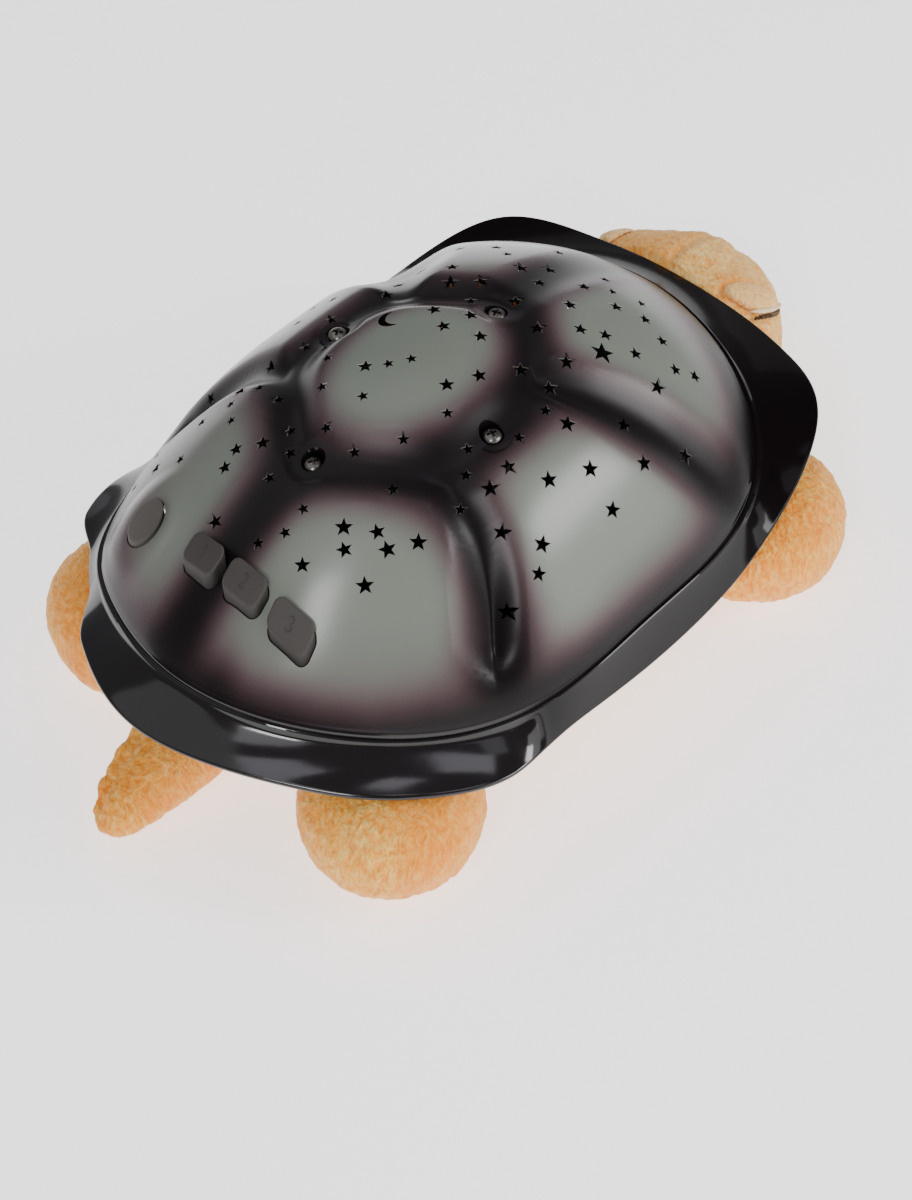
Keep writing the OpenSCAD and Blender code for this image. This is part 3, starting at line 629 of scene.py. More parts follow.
def star_outline(r, a0=47.0):
    return np.array([[(r if i % 2 == 0 else r * 0.42) * math.cos(math.radians(a0 + 36 * i)),
                      (r if i % 2 == 0 else r * 0.42) * math.sin(math.radians(a0 + 36 * i))] for i in range(10)])


def moon_outline(n=22):
    R, r, cx, cy = 3.9, 3.4, 1.6, -1.0
    # the two circles' crossing points
    d = math.hypot(cx, cy); a = (R * R - r * r + d * d) / (2 * d); h = math.sqrt(R * R - a * a)
    ux, uy = cx / d, cy / d
    p1 = (a * ux - h * uy, a * uy + h * ux); p2 = (a * ux + h * uy, a * uy - h * ux)
    A1, A2 = math.atan2(p1[1], p1[0]), math.atan2(p2[1], p2[0])
    if A2 < A1:
        A2 += 2 * math.pi
    out = [(R * math.cos(A1 + (A2 - A1) * k / n), R * math.sin(A1 + (A2 - A1) * k / n)) for k in range(n + 1)]
    B2, B1 = math.atan2(p2[1] - cy, p2[0] - cx), math.atan2(p1[1] - cy, p1[0] - cx)
    if B1 > B2:
        B1 -= 2 * math.pi
    for k in range(1, n):
        a_ = B2 + (B1 - B2) * k / n
        out.append((cx + r * math.cos(a_), cy + r * math.sin(a_)))
    return np.array(out)


def frame_at(x, y):
    """rotation that stands z along the shell's outward direction, keeping plan direction"""
    h = 0.8
    gx = float((env(x + h, y) - env(x - h, y)) / (2 * h)); gy = float((env(x, y + h) - env(x, y - h)) / (2 * h))
    n = Vector((-gx, -gy, 1)).normalized()
    ax = Vector((0, 0, 1)).cross(n)
    ang = Vector((0, 0, 1)).angle(n)
    return Matrix.Rotation(ang, 3, ax) if ax.length > 1e-9 else Matrix.Identity(3)


def offset_outline(o, d):
    """push an outline out by d along its mitred corners"""
    n = len(o); out = []
    area = 0.5 * sum(o[i][0] * o[(i + 1) % n][1] - o[(i + 1) % n][0] * o[i][1] for i in range(n))
    sg = 1 if area > 0 else -1
    for i in range(n):
        a, b, c = o[i - 1], o[i], o[(i + 1) % n]
        d1 = b - a; d1 /= np.linalg.norm(d1) + 1e-9; d2 = c - b; d2 /= np.linalg.norm(d2) + 1e-9
        n1 = np.array([d1[1], -d1[0]]) * sg; n2 = np.array([d2[1], -d2[0]]) * sg
        m = n1 + n2; m /= np.linalg.norm(m) + 1e-9
        k = max(0.45, float(m @ n1))
        out.append(b + m * d / k)
    return np.array(out)


def shell_cutters():
    V, F = [], []

    def add(v, f):
        b = len(V)
        V.extend(v.tolist()); F.extend([tuple(b + i for i in g) for g in f])

    for x, y, s in [(a - 1.3, b - 1.3, c) for a, b, c in STARS + [[46, -32, 4]]]:
        r = {1: 2.0, 2: 2.65, 3: 2.95, 4: 4.3}[s]
        z = float(zt(np.array([float(x)]), np.array([float(y)]))[0])
        o = star_outline(r, 52.0 + 11.0 * math.sin(1.7 * x + 2.3 * y))
        deep = -1.5 if (x > 40 and abs(y) > 58) else -6
        v, f = prism([o, o, offset_outline(o, 0.24), offset_outline(o, 0.24)], [deep, -0.14, 0.1, 5])
        M = np.array(frame_at(x, y))
        add(v @ M.T + [x, y, z], f)
    x, y = 4.2, 18.6
    z = float(zt(np.array([x]), np.array([y]))[0]); o = moon_outline()
    v, f = prism([o, o, offset_outline(o, 0.3), offset_outline(o, 0.3)], [-6, -0.2, 0.16, 5])
    add(v @ np.array(frame_at(x, y)).T + [x, y, z], f)
    ob = mesh_obj("cut_stars", V, F, smooth=False)
    fix_normals(ob.data)
    V, F = [], []
    ang = np.linspace(0, 2 * np.pi, 48, endpoint=False)
    circ = np.stack([np.cos(ang), np.sin(ang)], -1)
    for px, py, pz in POSTS:
        zs_ = float(zt(np.array([float(px)]), np.array([float(py)]))[0])
        lip = zs_ - pz
        v, f = prism([circ * 1.8, circ * 1.8, circ * 3.75, circ * 3.75, circ * 3.9, circ * 4.1], [-12, 0, 0.0001, max(lip - 0.35, 0.6), lip + 0.4, lip + 9])
        add(v + [px, py, pz], f)
    bx, by, _ = BTN_P
    v, f = prism([circ * (6.3 + GAP), circ * (6.3 + GAP)], [60, 110])
    add(v + [bx, by, 0], f)
    for cx, cy, rot in CAPS:
        o = rounded(CAP_L / 2 + GAP, CAP_W / 2 + GAP, CAP_R + GAP, 10)
        c, s = math.cos(math.radians(rot)), math.sin(math.radians(rot))
        o = o @ np.array([[c, s], [-s, c]])
        v, f = prism([o, o], [66, 110])
        add(v + [cx, cy, 0], f)
    ob2 = mesh_obj("cut_holes", V, F, smooth=False)
    fix_normals(ob2.data)
    return ob, ob2


def rounded(hx, hy, r, n=8):
    out = []
    for cx, cy, a0 in ((hx - r, hy - r, 0), (-hx + r, hy - r, 90), (-hx + r, -hy + r, 180), (hx - r, -hy + r, 270)):
        for k in range(n + 1):
            a = math.radians(a0 + 90 * k / n)
            out.append((cx + r * math.cos(a), cy + r * math.sin(a)))
    return np.array(out)


def paint(x, y):
    """0 in the black valleys, 1 in the middle of a light patch: how far each spray mask reaches, less painted shade
    low on the rear and over the far-left side
    """
    ay = np.abs(y); t = np.arctan2(y, x); rc = rcv(t); r = np.hypot(x, y)
    sd = ring_sd(x, y)
    centre = -(np.sqrt(((x + 5.6) / 32.5) ** 2 + ((y - 0.6) / np.where(y > 0.6, 22.6, 24.2)) ** 2 + 1e-6) - 1) * 26.0
    front = sstep(62, 40, np.degrees(np.abs(t)))
    outer = sd - 7.5 - 4.0 * front - 4.0 * sstep(118, 140, np.degrees(np.abs(t)))
    da, sa, la = pdist(x, ay, GA)
    dA = np.where(sa > 0, da - 10.5, da - 8.0)
    db, sb, lb = pdist(x, ay, GB)
    dB = np.where(sb > 0, db - 9.0 + 3.0 * sstep(20, 46, lb), db - 7.5 - 4.0 * sstep(20, 46, lb))
    dF = np.where(x > 25, np.abs(y - 0.12 * np.maximum(x - 30, 0)) - (8.0 + 2.0 * sstep(40, 90, x)), 60)
    dR = np.where(x < -45, np.where(y > 3.5, (y - 3.5) - 7.5, (3.5 - y) - 9.0), 60)
    hz = env(x, y) - ser(ZC, t)
    dg = np.degrees(np.mod(t, 2 * np.pi))
    dC = (hz - 7.0 - 5.5 * sstep(68, 38, np.degrees(np.abs(t))) + 3.5 * sstep(140, 155, dg) * sstep(190, 180, dg) + 2.5 * sstep(188, 194, dg) * sstep(225, 212, dg)) * 0.95
    out = smin(smin(smin(outer, dA, 6), smin(dB, dF, 6), 7), smin(dR, dC, 7), 7)
    # painted shade: the patches are darkened low on the rear and over the far-left scutes
    painted_shade = 0.24 * sstep(92, 70, env(x, y)) * sstep(-10, -40, x) + 0.24 * sstep(22, 48, y) * sstep(40, 10, x)
    return sstep(-10.0, 10.5, smax(centre, out, 1.5)) * (1 - painted_shade)


def finish_shell(ob):
    a, b = shell_cutters()
    # bosses for the screws
    ang = np.linspace(0, 2 * np.pi, 48, endpoint=False)
    circ = np.stack([np.cos(ang), np.sin(ang)], -1) * 6
    V, F = [], []
    for px, py, pz in POSTS:
        v, f = prism([circ, circ], [pz - 3.6, pz + 1.4])
        base = len(V); V.extend((v + [px, py, 0]).tolist()); F.extend([tuple(base + i for i in g) for g in f])
    bo = mesh_obj("bosses", V, F, smooth=False); fix_normals(bo.data)
    boolean(ob, bo, "UNION")
    boolean(ob, a); boolean(ob, b)
    me = ob.data
    co = coords(me) / MM - [SX, 0, 0]
    p = paint(co[:, 0], co[:, 1])
    r = np.hypot(co[:, 0], co[:, 1]); rc = rcv(np.arctan2(co[:, 1], co[:, 0]))
    q = r / rc
    z_out = zt(co[:, 0], co[:, 1])
    on_top = (co[:, 2] > z_out - 0.45) & (q < 0.9996)
    p = np.where(q < 0.9996, p, 0)
    p = np.where(on_top, p, np.where(q < 0.9996, p * 0.15, 0))
    attr(me, "paint", p)
    attr(me, "dome", sstep(1.0, 0.985, q))
    # gloss: the skirt is polished, the sprayed dome less so, least over the front ledge and in the deep near valley
    td = np.degrees(np.abs(np.arctan2(co[:, 1], co[:, 0])))
    wedge = np.exp(-(((co[:, 0] + 41) / 12) ** 2 + ((co[:, 1] + 63) / 15) ** 2))
    sp = 0.3 - 0.1 * (1 - p) - 0.2 * np.maximum(sstep(0.84, 0.95, q) * sstep(58, 38, td), 0.85 * wedge) * (0.5 + 0.5 * p)
    attr(me, "gloss", np.where(q < 0.9996, np.maximum(sp, 0.06), 0.55 - 0.32 * sstep(121, 113, td) - 0.17 * sstep(62, 45, td)))
    me.polygons.foreach_set("use_smooth", [True] * len(me.polygons))
    me.set_sharp_from_angle(angle=math.radians(33))
    # exact normals on the dome, so the gloss runs clean past every cut
    nrm = dome_normal(co[:, 0], co[:, 1])
    nl = len(me.loops)
    vi = np.empty(nl, dtype=np.int32); me.loops.foreach_get("vertex_index", vi)
    npoly = len(me.polygons)
    ls = np.empty(npoly, dtype=np.int32); lt = np.empty(npoly, dtype=np.int32)
    me.polygons.foreach_get("loop_start", ls); me.polygons.foreach_get("loop_total", lt)
    pn = np.empty(npoly * 3, dtype=np.float32); me.polygons.foreach_get("normal", pn); pn = pn.reshape(-1, 3)
    poly_of = np.repeat(np.arange(npoly), lt)
    fn = pn[poly_of]
    q_ok = (q[vi] < 0.992) & (np.abs(co[vi, 2] - z_out[vi]) < 0.12)
    al = np.sum(fn * nrm[vi], axis=1) > 0.93
    use = q_ok & al
    # a face counts only if all its corners do
    bad = np.zeros(npoly, dtype=bool); np.logical_or.at(bad, poly_of[~use], True)
    use = ~bad[poly_of]
    ln = np.zeros((nl, 3)); ln[use] = nrm[vi][use]
    me.normals_split_custom_set([tuple(v) for v in ln])
    # the cuts' chamfered faces are painted paler: partly a pale burr, partly a painted highlight
    dev = np.abs(co[vi, 2] - z_out[vi]) > 1.1
    off = np.zeros(npoly, dtype=bool); np.logical_or.at(off, poly_of[dev | (q[vi] > 0.99)], True)
    nd_ = np.zeros(npoly); np.add.at(nd_, poly_of, np.sum(fn * nrm[vi], axis=1)); nd_ /= lt
    e = me.attributes.new("edge", "FLOAT", "FACE")
    e.data.foreach_set("value", ((~off) & (nd_ < 0.9) & (nd_ > 0.3)).astype(np.float32))
    far_in = np.zeros(npoly, dtype=bool); np.logical_or.at(far_in, poly_of[q[vi] > 0.985], True)
    e = me.attributes.new("inner", "FLOAT", "FACE")
    e.data.foreach_set("value", ((~far_in) & (nd_ <= 0.3)).astype(np.float32))
    return ob


# ============================================================== buttons =====
def cap_mesh(name, cx, cy, rot, outline, rise, digit=None, crown=0.25, bev=0.75, slope=None):
    """a moulded key: vertical walls, rounded top edge, top parallel to the shell"""
    M = np.array(frame_at(cx, cy)); g = M @ np.array([0, 0, 1.0])
    if slope:
        g = np.array([-slope[0], -slope[1], 1.0]); g /= np.linalg.norm(g)
    z0 = float(env(np.array([float(cx)]), np.array([float(cy)]))[0]) + rise
    c, s = math.cos(math.radians(rot)), math.sin(math.radians(rot))
    n = len(outline)

    def place(o):
        o2 = o @ np.array([[c, s], [-s, c]])
        return o2

    def topz(p):
        return z0 - (g[0] * p[:, 0] + g[1] * p[:, 1]) / g[2]
    V = []; F = []
    rows = []
    o = place(outline)
    rows.append(np.column_stack([o, np.full(n, 66.0)]))
    for k in range(1, 5):
        f = k / 5
        zz = 66.0 + (topz(o) - bev * 1.6 - 66.0) * f
        rows.append(np.column_stack([o, zz]))
    for k in range(0, 9):
        a = math.radians(90 * k / 8)
        oo = place(offset_outline(outline, -bev * (1 - math.cos(a))) if k else outline)
        zz = topz(oo) - bev * (1 - math.sin(a)) * 1.15
        rows.append(np.column_stack([oo, zz]))
    for f in (0.8, 0.6, 0.4, 0.2):
        oo = place(offset_outline(outline, -bev) * f)
        rr = 1 - f
        rows.append(np.column_stack([oo, topz(oo) + crown * (1 - f * f)]))
    R = len(rows)
    for r in rows:
        V.extend((r + [cx, cy, 0]).tolist())
    for k in range(R - 1):
        for j in range(n):
            F.append((k * n + j, k * n + (j + 1) % n, (k + 1) * n + (j + 1) % n, (k + 1) * n + j))
    V.append([cx, cy, z0 + crown]); ti = len(V) - 1
    for j in range(n):
        F.append(((R - 1) * n + j, (R - 1) * n + (j + 1) % n, ti))
    F.append(tuple(range(n))[::-1])
    # stem and collar below the cap
    ang = np.linspace(0, 2 * np.pi, 32, endpoint=False); circ = np.stack([np.cos(ang), np.sin(ang)], -1)
    v, f = prism([circ * 3.7, circ * 4, circ * 4, circ * 3, circ * 3], [59.6, 59.8, 60.7, 60.71, 66.4])
    b0 = len(V); V.extend((v + [cx, cy, 0]).tolist()); F.extend([tuple(b0 + i for i in q) for q in f])
    ob = mesh_obj(name, V, F)
    fix_normals(ob.data)
    ob.data.set_sharp_from_angle(angle=math.radians(40))
    loc = np.array(V, float)
    # painted shade: 1 on the top, falling to 0 low on the walls, where the colour is darkened towards the gaps
    attr(ob.data, "unshaded_top", sstep(3.4, 0.5, topz(loc[:, :2] - [cx, cy]) - loc[:, 2]))
    parts = [ob]
    if digit:
        # raised figure, a rounded stroke on the cap's top
        strokes = DIGITS[digit]
        M2 = M
        for i, st in enumerate(strokes):
            pts = np.array(st, float)
            cu = bpy.data.curves.new(name + "_fig", "CURVE"); cu.dimensions = "3D"
            sp = cu.splines.new("POLY"); sp.points.add(len(pts) - 1)
            for k, (px, py) in enumerate(pts):
                # figures read from behind the toy: up is towards +x, right is towards -y
                l2 = place(np.array([[py * 1.0, -px * 1.0]]))[0]
                rr2 = (l2[0] ** 2 + l2[1] ** 2) / 30.0
                zz = z0 - (g[0] * l2[0] + g[1] * l2[1]) / g[2] + crown * (1 - min(1, rr2)) - 0.03
                w = Vector(((cx + l2[0] + SX) * MM, (cy + l2[1]) * MM, zz * MM))
                sp.points[k].co = (w.x, w.y, w.z, 1)
            cu.bevel_depth = 0.00024; cu.bevel_resolution = 3; cu.use_fill_caps = True
            co_ = bpy.data.objects.new(name + "_fig", cu); bpy.context.scene.collection.objects.link(co_)
            activate(co_); bpy.ops.object.convert(target="MESH")
            parts.append(bpy.context.view_layer.objects.active)
            # the raised figures carry a little painted shade
            attr(parts[-1].data, "unshaded_top", np.full(len(parts[-1].data.vertices), 0.75))
    if len(parts) > 1:
        for o_ in bpy.context.selected_objects:
            o_.select_set(False)
        for o_ in parts:
            o_.select_set(True)
        bpy.context.view_layer.objects.active = parts[0]
        bpy.ops.object.join()
        ob = bpy.context.view_layer.objects.active
        ob.data.polygons.foreach_set("use_smooth", [True] * len(ob.data.polygons))
    return ob


def arc(cx, cy, r, a0, a1, n=14, ry=None):
    ry = ry or r
    return [(cx + r * math.cos(math.radians(a0 + (a1 - a0) * k / n)), cy + ry * math.sin(math.radians(a0 + (a1 - a0) * k / n))) for k in range(n + 1)]


DIGITS = {
    "1": [[(-0.7, 1.1), (0.15, 1.75), (0.15, -1.75)]],
    "2": [arc(0, 0.85, 0.95, 165, -35, 14, 0.9) + [(-0.95, -1.7), (1.05, -1.7)]],
    "3": [arc(-0.05, 0.88, 0.85, 150, -85, 14, 0.85), arc(-0.05, -0.85, 0.98, 88, -150, 14, 0.9)],
}


# ============================================================== screws ======
def lathe(profile, n=48, centre=(0, 0, 0)):
    V = []; F = []
    rows = []
    for r, z in profile:
        if r < 1e-6:
            rows.append([len(V)]); V.append((centre[0], centre[1], centre[2] + z))
        else:
            rows.append(list(range(len(V), len(V) + n)))
            for j in range(n):
                a = 2 * math.pi * j / n
                V.append((centre[0] + r * math.cos(a), centre[1] + r * math.sin(a), centre[2] + z))
    for a, b in zip(rows[:-1], rows[1:]):
        if len(a) == 1 and len(b) == 1:
            continue
        for j in range(n):
            j2 = (j + 1) % n
            if len(a) == 1:
                F.append((a[0], b[j], b[j2]))
            elif len(b) == 1:
                F.append((a[j], b[0], a[j2]))
            else:
                F.append((a[j], b[j], b[j2], a[j2]))
    return V, F


def screw_mesh(name, places, d_head, h_head, d_shank, l_shank, cross, turn0=0.0, thread=0.25, flip=False):
    V, F = [], []
    rh = d_head / 2; rs_ = d_shank / 2
    prof = [(0, -l_shank)] + [(rs_ * 0.35, -l_shank + 0.1)]
    z = -l_shank + 0.9; k = 0
    while z < -0.4:                       # ridges stand in for the thread
        prof.append((rs_ - (thread if k % 2 else 0), z)); z += 0.42; k += 1
    prof += [(rs_, -0.05), (rs_, 0.0), (rh - 0.15, 0.0), (rh, 0.12), (rh, h_head * 0.35)]
    for i in range(1, 9):
        a = math.radians(90 * i / 8)
        prof.append((max(rh * math.cos(a) ** 0.75 if math.cos(a) > 1e-6 else 0, 0.0), h_head * 0.35 + h_head * 0.65 * math.sin(a)))
    prof[-1] = (0, h_head)
    V1, F1 = lathe(prof)
    cutv, cutf = [], []
    for i, (px, py, pz) in enumerate(places):
        b = len(V)
        s = -1 if flip else 1
        V.extend([(px + x, py + y * s, pz + z_ * s) for x, y, z_ in V1]); F.extend([tuple(b + q for q in f) for f in F1])
    ob = mesh_obj(name, V, F); fix_normals(ob.data)
    boxes, faces = [], []
    for i, (px, py, pz) in enumerate(places):
        s = -1 if flip else 1
        a = turn0 + i * 0.7
        # one cross-shaped prism, so nothing overlaps itself
        w, L = cross
        def crossline(k):
            hw, hl = w / 2 * k, L / 2 * k
            return [(hw, hw), (hw, hl), (-hw, hl), (-hw, hw), (-hl, hw), (-hl, -hw), (-hw, -hw), (-hw, -hl), (hw, -hl), (hw, -hw), (hl, -hw), (hl, hw)]
        c, sn = math.cos(a), math.sin(a)
        def rot(o):
            return np.array([(x * c - y * sn, x * sn + y * c) for x, y in o])
        o1, o2 = rot(crossline(0.62)), rot(crossline(1.0))
        v, f = prism([o1, o2, o2], [h_head - 1.25, h_head - 0.1, h_head + 2])
        v = v * [1, 1, s]
        b = len(boxes); boxes.extend((v + [px, py, pz]).tolist()); faces.extend([tuple(b + q for q in g) for g in f])
    cu = mesh_obj(name + "_cut", boxes, faces, smooth=False); fix_normals(cu.data)
    boolean(ob, cu)
    ob.data.polygons.foreach_set("use_smooth", [True] * len(ob.data.polygons))
    ob.data.set_sharp_from_angle(angle=math.radians(38))
    return ob


# ============================================================== plush =======
FOOT_C = {"plush_foot_rear_left": (-82, 59.5), "plush_foot_rear_right": (-82, -59.5),
          "plush_foot_front_left": (85, 66), "plush_foot_front_right": (85, -66)}
FOOT_R, FOOT_H = 31.0, 47.0
HEAD_C, HEAD_TURN, HEAD_R = np.array([136.0, 13.0, 32.0]), 8.0, (32.0, 41.0, 31.0)


def voxel(ob, size_mm):
    m = ob.modifiers.new("r", "REMESH"); m.mode = "VOXEL"; m.voxel_size = size_mm * MM; m.use_smooth_shade = True
    apply_mod(ob, m)


def cloth_puff(ob, pin=None, cap=2.0, frames=14, pressure=4.0, stiff=12.0):
    """stuff the skin: cloth with inner pressure, pinned along its seams, movement capped (mm)"""
    rest = coords(ob.data).copy()
    vg = ob.vertex_groups.new(name="pin")
    w = np.zeros(len(rest)) if pin is None else pin(rest / MM - [SX, 0, 0])
    for i in np.nonzero(w > 0.02)[0]:
        vg.add([int(i)], float(w[i]), "REPLACE")
    m = ob.modifiers.new("Cloth", "CLOTH")
    st = m.settings
    st.quality = 5; st.mass = 0.15
    st.tension_stiffness = stiff; st.compression_stiffness = stiff * 0.4; st.shear_stiffness = 4; st.bending_stiffness = 0.35
    st.use_pressure = True; st.uniform_pressure_force = pressure
    st.vertex_group_mass = "pin"
    st.effector_weights.gravity = 0.0
    m.collision_settings.use_collision = False
    sc = bpy.context.scene
    for f in range(1, frames + 1):
        sc.frame_set(f)
    dg = bpy.context.evaluated_depsgraph_get()
    ev = ob.evaluated_get(dg); me2 = ev.to_mesh(); new = coords(me2).copy(); ev.to_mesh_clear()
    ob.modifiers.remove(m)
    sc.frame_set(1)
    d = new - rest; L = np.linalg.norm(d, axis=1)
    k = np.minimum(1.0, cap * MM / np.maximum(L, 1e-9))
    set_coords(ob.data, rest + d * k[:, None])
    ob.vertex_groups.clear()


def subdivide(ob, n=1):
    m = ob.modifiers.new("s", "SUBSURF"); m.levels = n; m.render_levels = n
    apply_mod(ob, m)


def smooth_mesh(ob, it=4, f=0.5):
    m = ob.modifiers.new("sm", "SMOOTH"); m.iterations = it; m.factor = f
    apply_mod(ob, m)


def pile(ob, mottle_and_shade=None, amp=0.16, keep=None, wrinkle=0.0):
    """finish a plush skin: soft lumps, pile tufts, and an attribute of random mottling plus any painted shade"""
    me = ob.data
    co = coords(me) / MM; n = vnormals(me)
    d = 0.35 * noise3(co, 17.0, 3.1) + 0.1 * noise3(co, 7.0, 9.2)
    q = co @ np.array([[1, 0, 0], [0, 1, 0.35], [0.3, 0, 0.5]])
    d = d + amp * noise3(q, 2.1, 5.5) + amp * 0.6 * noise3(q, 1.15, 1.7)
    if wrinkle:
        d = d + wrinkle * np.abs(noise3(co * [1, 1, 0.35], 9.0, 2.2))
    k = np.ones(len(co)) if keep is None else keep(co - [SX, 0, 0])
    set_coords(me, (co + n * (d * k)[:, None]) * MM)
    a = 0.5 + 0.5 * noise3(co, 16.0, 7.7)
    if mottle_and_shade is not None:
        a = mottle_and_shade(co - [SX, 0, 0], a)
    attr(me, "mottle_and_shade", np.clip(a, 0, 1))
    me.polygons.foreach_set("use_smooth", [True] * len(me.polygons))


def seam(ob, field, depth=0.9, width=1.3, pucker=0.35, region=None):
    """sew a line into the skin where field (mm, signed) is 0: a groove with puckers beside it"""
    me = ob.data
    co = coords(me) / MM - [SX, 0, 0]; n = vnormals(me)
    f, along = field(co)
    g = np.exp(-(f / width) ** 2)
    p = np.exp(-((np.abs(f) - 2.6) / 2.2) ** 2) * np.sin(along * 2 * np.pi / 4.6 + 1.7 * noise3(co, 9.0, 4.4)) * pucker
    swell = 0.35 * np.exp(-((np.abs(f) - 4.0) / 2.6) ** 2)
    w = 1.0 if region is None else region(co)
    set_coords(me, (co + [SX, 0, 0] + n * ((-depth * g + p + swell) * w)[:, None]) * MM)


def superpad(cx, cy, r, h, e=2.3, base=0.3, nlat=26, nlon=44, lean=(0, 0), squash=None):
    """stuffed ball that rests on a flat patch"""
    V = []; rows = []
    m = 0.51 * h
    V.append((cx, cy, 0)); rows.append([0])
    for i in range(1, nlat):
        tdeg = -90 + 180 * i / nlat
        tt = math.radians(tdeg)
        b = m if tdeg < 0 else h - m
        rr = r * abs(math.cos(tt)) ** (2 / e); zz = m + b * abs(math.sin(tt)) ** (2 / e) * (1 if tt > 0 else -1)
        row = []
        for j in range(nlon):
            a = 2 * math.pi * j / nlon
            k = 1.0
            row.append(len(V))
            V.append((cx + rr * k * math.cos(a) + lean[0] * (zz / h), cy + rr * k * math.sin(a) + lean[1] * (zz / h), zz))
        rows.append(row)
    V.append((cx + lean[0], cy + lean[1], h)); rows.append([len(V) - 1])
    F = []
    for a, b in zip(rows[:-1], rows[1:]):
        for j in range(nlon):
            j2 = (j + 1) % nlon
            if len(a) == 1:
                F.append((a[0], b[j2], b[j]))
            elif len(b) == 1:
                F.append((a[j], a[j2], b[0]))
            else:
                F.append((a[j], a[j2], b[j2], b[j]))
    return V, F


def build_foot(name):
    cx, cy = FOOT_C[name]
    V, F = superpad(cx, cy, FOOT_R - 1.4, FOOT_H - 1.6)
    ob = mesh_obj(name.replace("plush_", "sewn_"), V, F, shift=(SX, 0, 0.4))
    fix_normals(ob.data)
    voxel(ob, 4.0)
    sole = 6.5
    out = math.atan2(cy, cx)

    def sole_f(co):
        a = np.arctan2(co[:, 1] - cy, co[:, 0] - cx)
        return co[:, 2] - (sole + 1.0 * np.sin(2 * a)), a * FOOT_R * 0.85

    def side_f(co):
        # one upright seam facing the body, one facing out to the side
        c, s = math.cos(out + 0.9), math.sin(out + 0.9)
        f = -(co[:, 0] - cx) * s + (co[:, 1] - cy) * c
        return f, co[:, 2]

    cloth_puff(ob, pin=lambda co: np.exp(-(sole_f(co)[0] / 2.4) ** 2), cap=1.8)
    subdivide(ob, 2)
    smooth_mesh(ob, 4, 0.5)
    seam(ob, sole_f, depth=0.55, width=1.0, pucker=0.16)
    seam(ob, side_f, depth=0.35, width=0.9, pucker=0.1, region=lambda co: sstep(4, 10, co[:, 2]))

    def mottle_and_shade(co, a):
        # painted shade: darker beyond the side seam, where the pile lies the other way (on the rear right foot, across
        # a diagonal)
        f = side_f(co)[0]
        if name == "plush_foot_rear_right":
            w = (co[:, 0] - cx) * 0.73 - (co[:, 1] - cy) * 0.68
            return 0.16 * a + 0.75 * sstep(-1.0, 4.0, w)
        return 0.55 * a + 0.42 * sstep(-2.5, 2.5, f * (1 if cy < 0 else -1)) * sstep(0.2, 0.8, a + 0.35)
    pile(ob, mottle_and_shade=mottle_and_shade)
    co = coords(ob.data); co[:, 2] = np.maximum(co[:, 2], 0.0); set_coords(ob.data, co)
    return ob


def head_trim(q):
    """the stuffed head is flatter over the brow and cheeks than the ball it is cut to (own axes, mm)"""
    R = np.array(HEAD_R)
    q = np.array(q, float)
    for d, off in (((0.57, -0.27, 0.77), 2.1), ((0.57, 0.27, 0.77), 2.1), ((0.46, -0.83, 0.3), 2.8), ((0.46, 0.83, 0.3), 2.8)):
        d = np.array(d); d = d / np.linalg.norm(d)
        lim = math.sqrt(np.sum((R * d) ** 2)) - off
        v = q @ d
        q = q + (smin(v, lim, 1.6) - v)[:, None] * d
    return q


def head_world(q):
    c, s = math.cos(math.radians(HEAD_TURN)), math.sin(math.radians(HEAD_TURN))
    q = np.atleast_2d(q)
    return np.stack([q[:, 0] * c - q[:, 1] * s, q[:, 0] * s + q[:, 1] * c, q[:, 2]], -1) + HEAD_C


def head_local(co):
    c, s = math.cos(math.radians(HEAD_TURN)), math.sin(math.radians(HEAD_TURN))
    d = co - HEAD_C
    return np.stack([d[:, 0] * c + d[:, 1] * s, -d[:, 0] * s + d[:, 1] * c, d[:, 2]], -1)


def head_skin(yaw, pitch, g=0.0):
    """points on the head's skin in the given directions (deg, arrays), g mm proud; shell frame"""
    a, b, g = np.broadcast_arrays(np.radians(np.asarray(yaw, float)), np.radians(np.asarray(pitch, float)), np.asarray(g, float))
    d = np.stack([np.cos(b) * np.cos(a), np.cos(b) * np.sin(a), np.sin(b)], -1).reshape(-1, 3)
    R = np.array(HEAD_R)
    k = 1.0 / np.sqrt(np.sum((d / R) ** 2, axis=1))
    n = d / R ** 2; n /= np.linalg.norm(n, axis=1)[:, None]
    return head_world(head_trim(d * k[:, None]) + n * g.reshape(-1)[:, None])


def under_rim(co):
    """pressed down under the shell's front rim, shell frame"""
    zmax = 57.2 + 40 * sstep(129.5, 134.5, co[:, 0])
    co = co.copy()
    co[:, 2] = np.where(co[:, 2] > zmax, smin(co[:, 2], zmax, 1.5), co[:, 2])
    return co


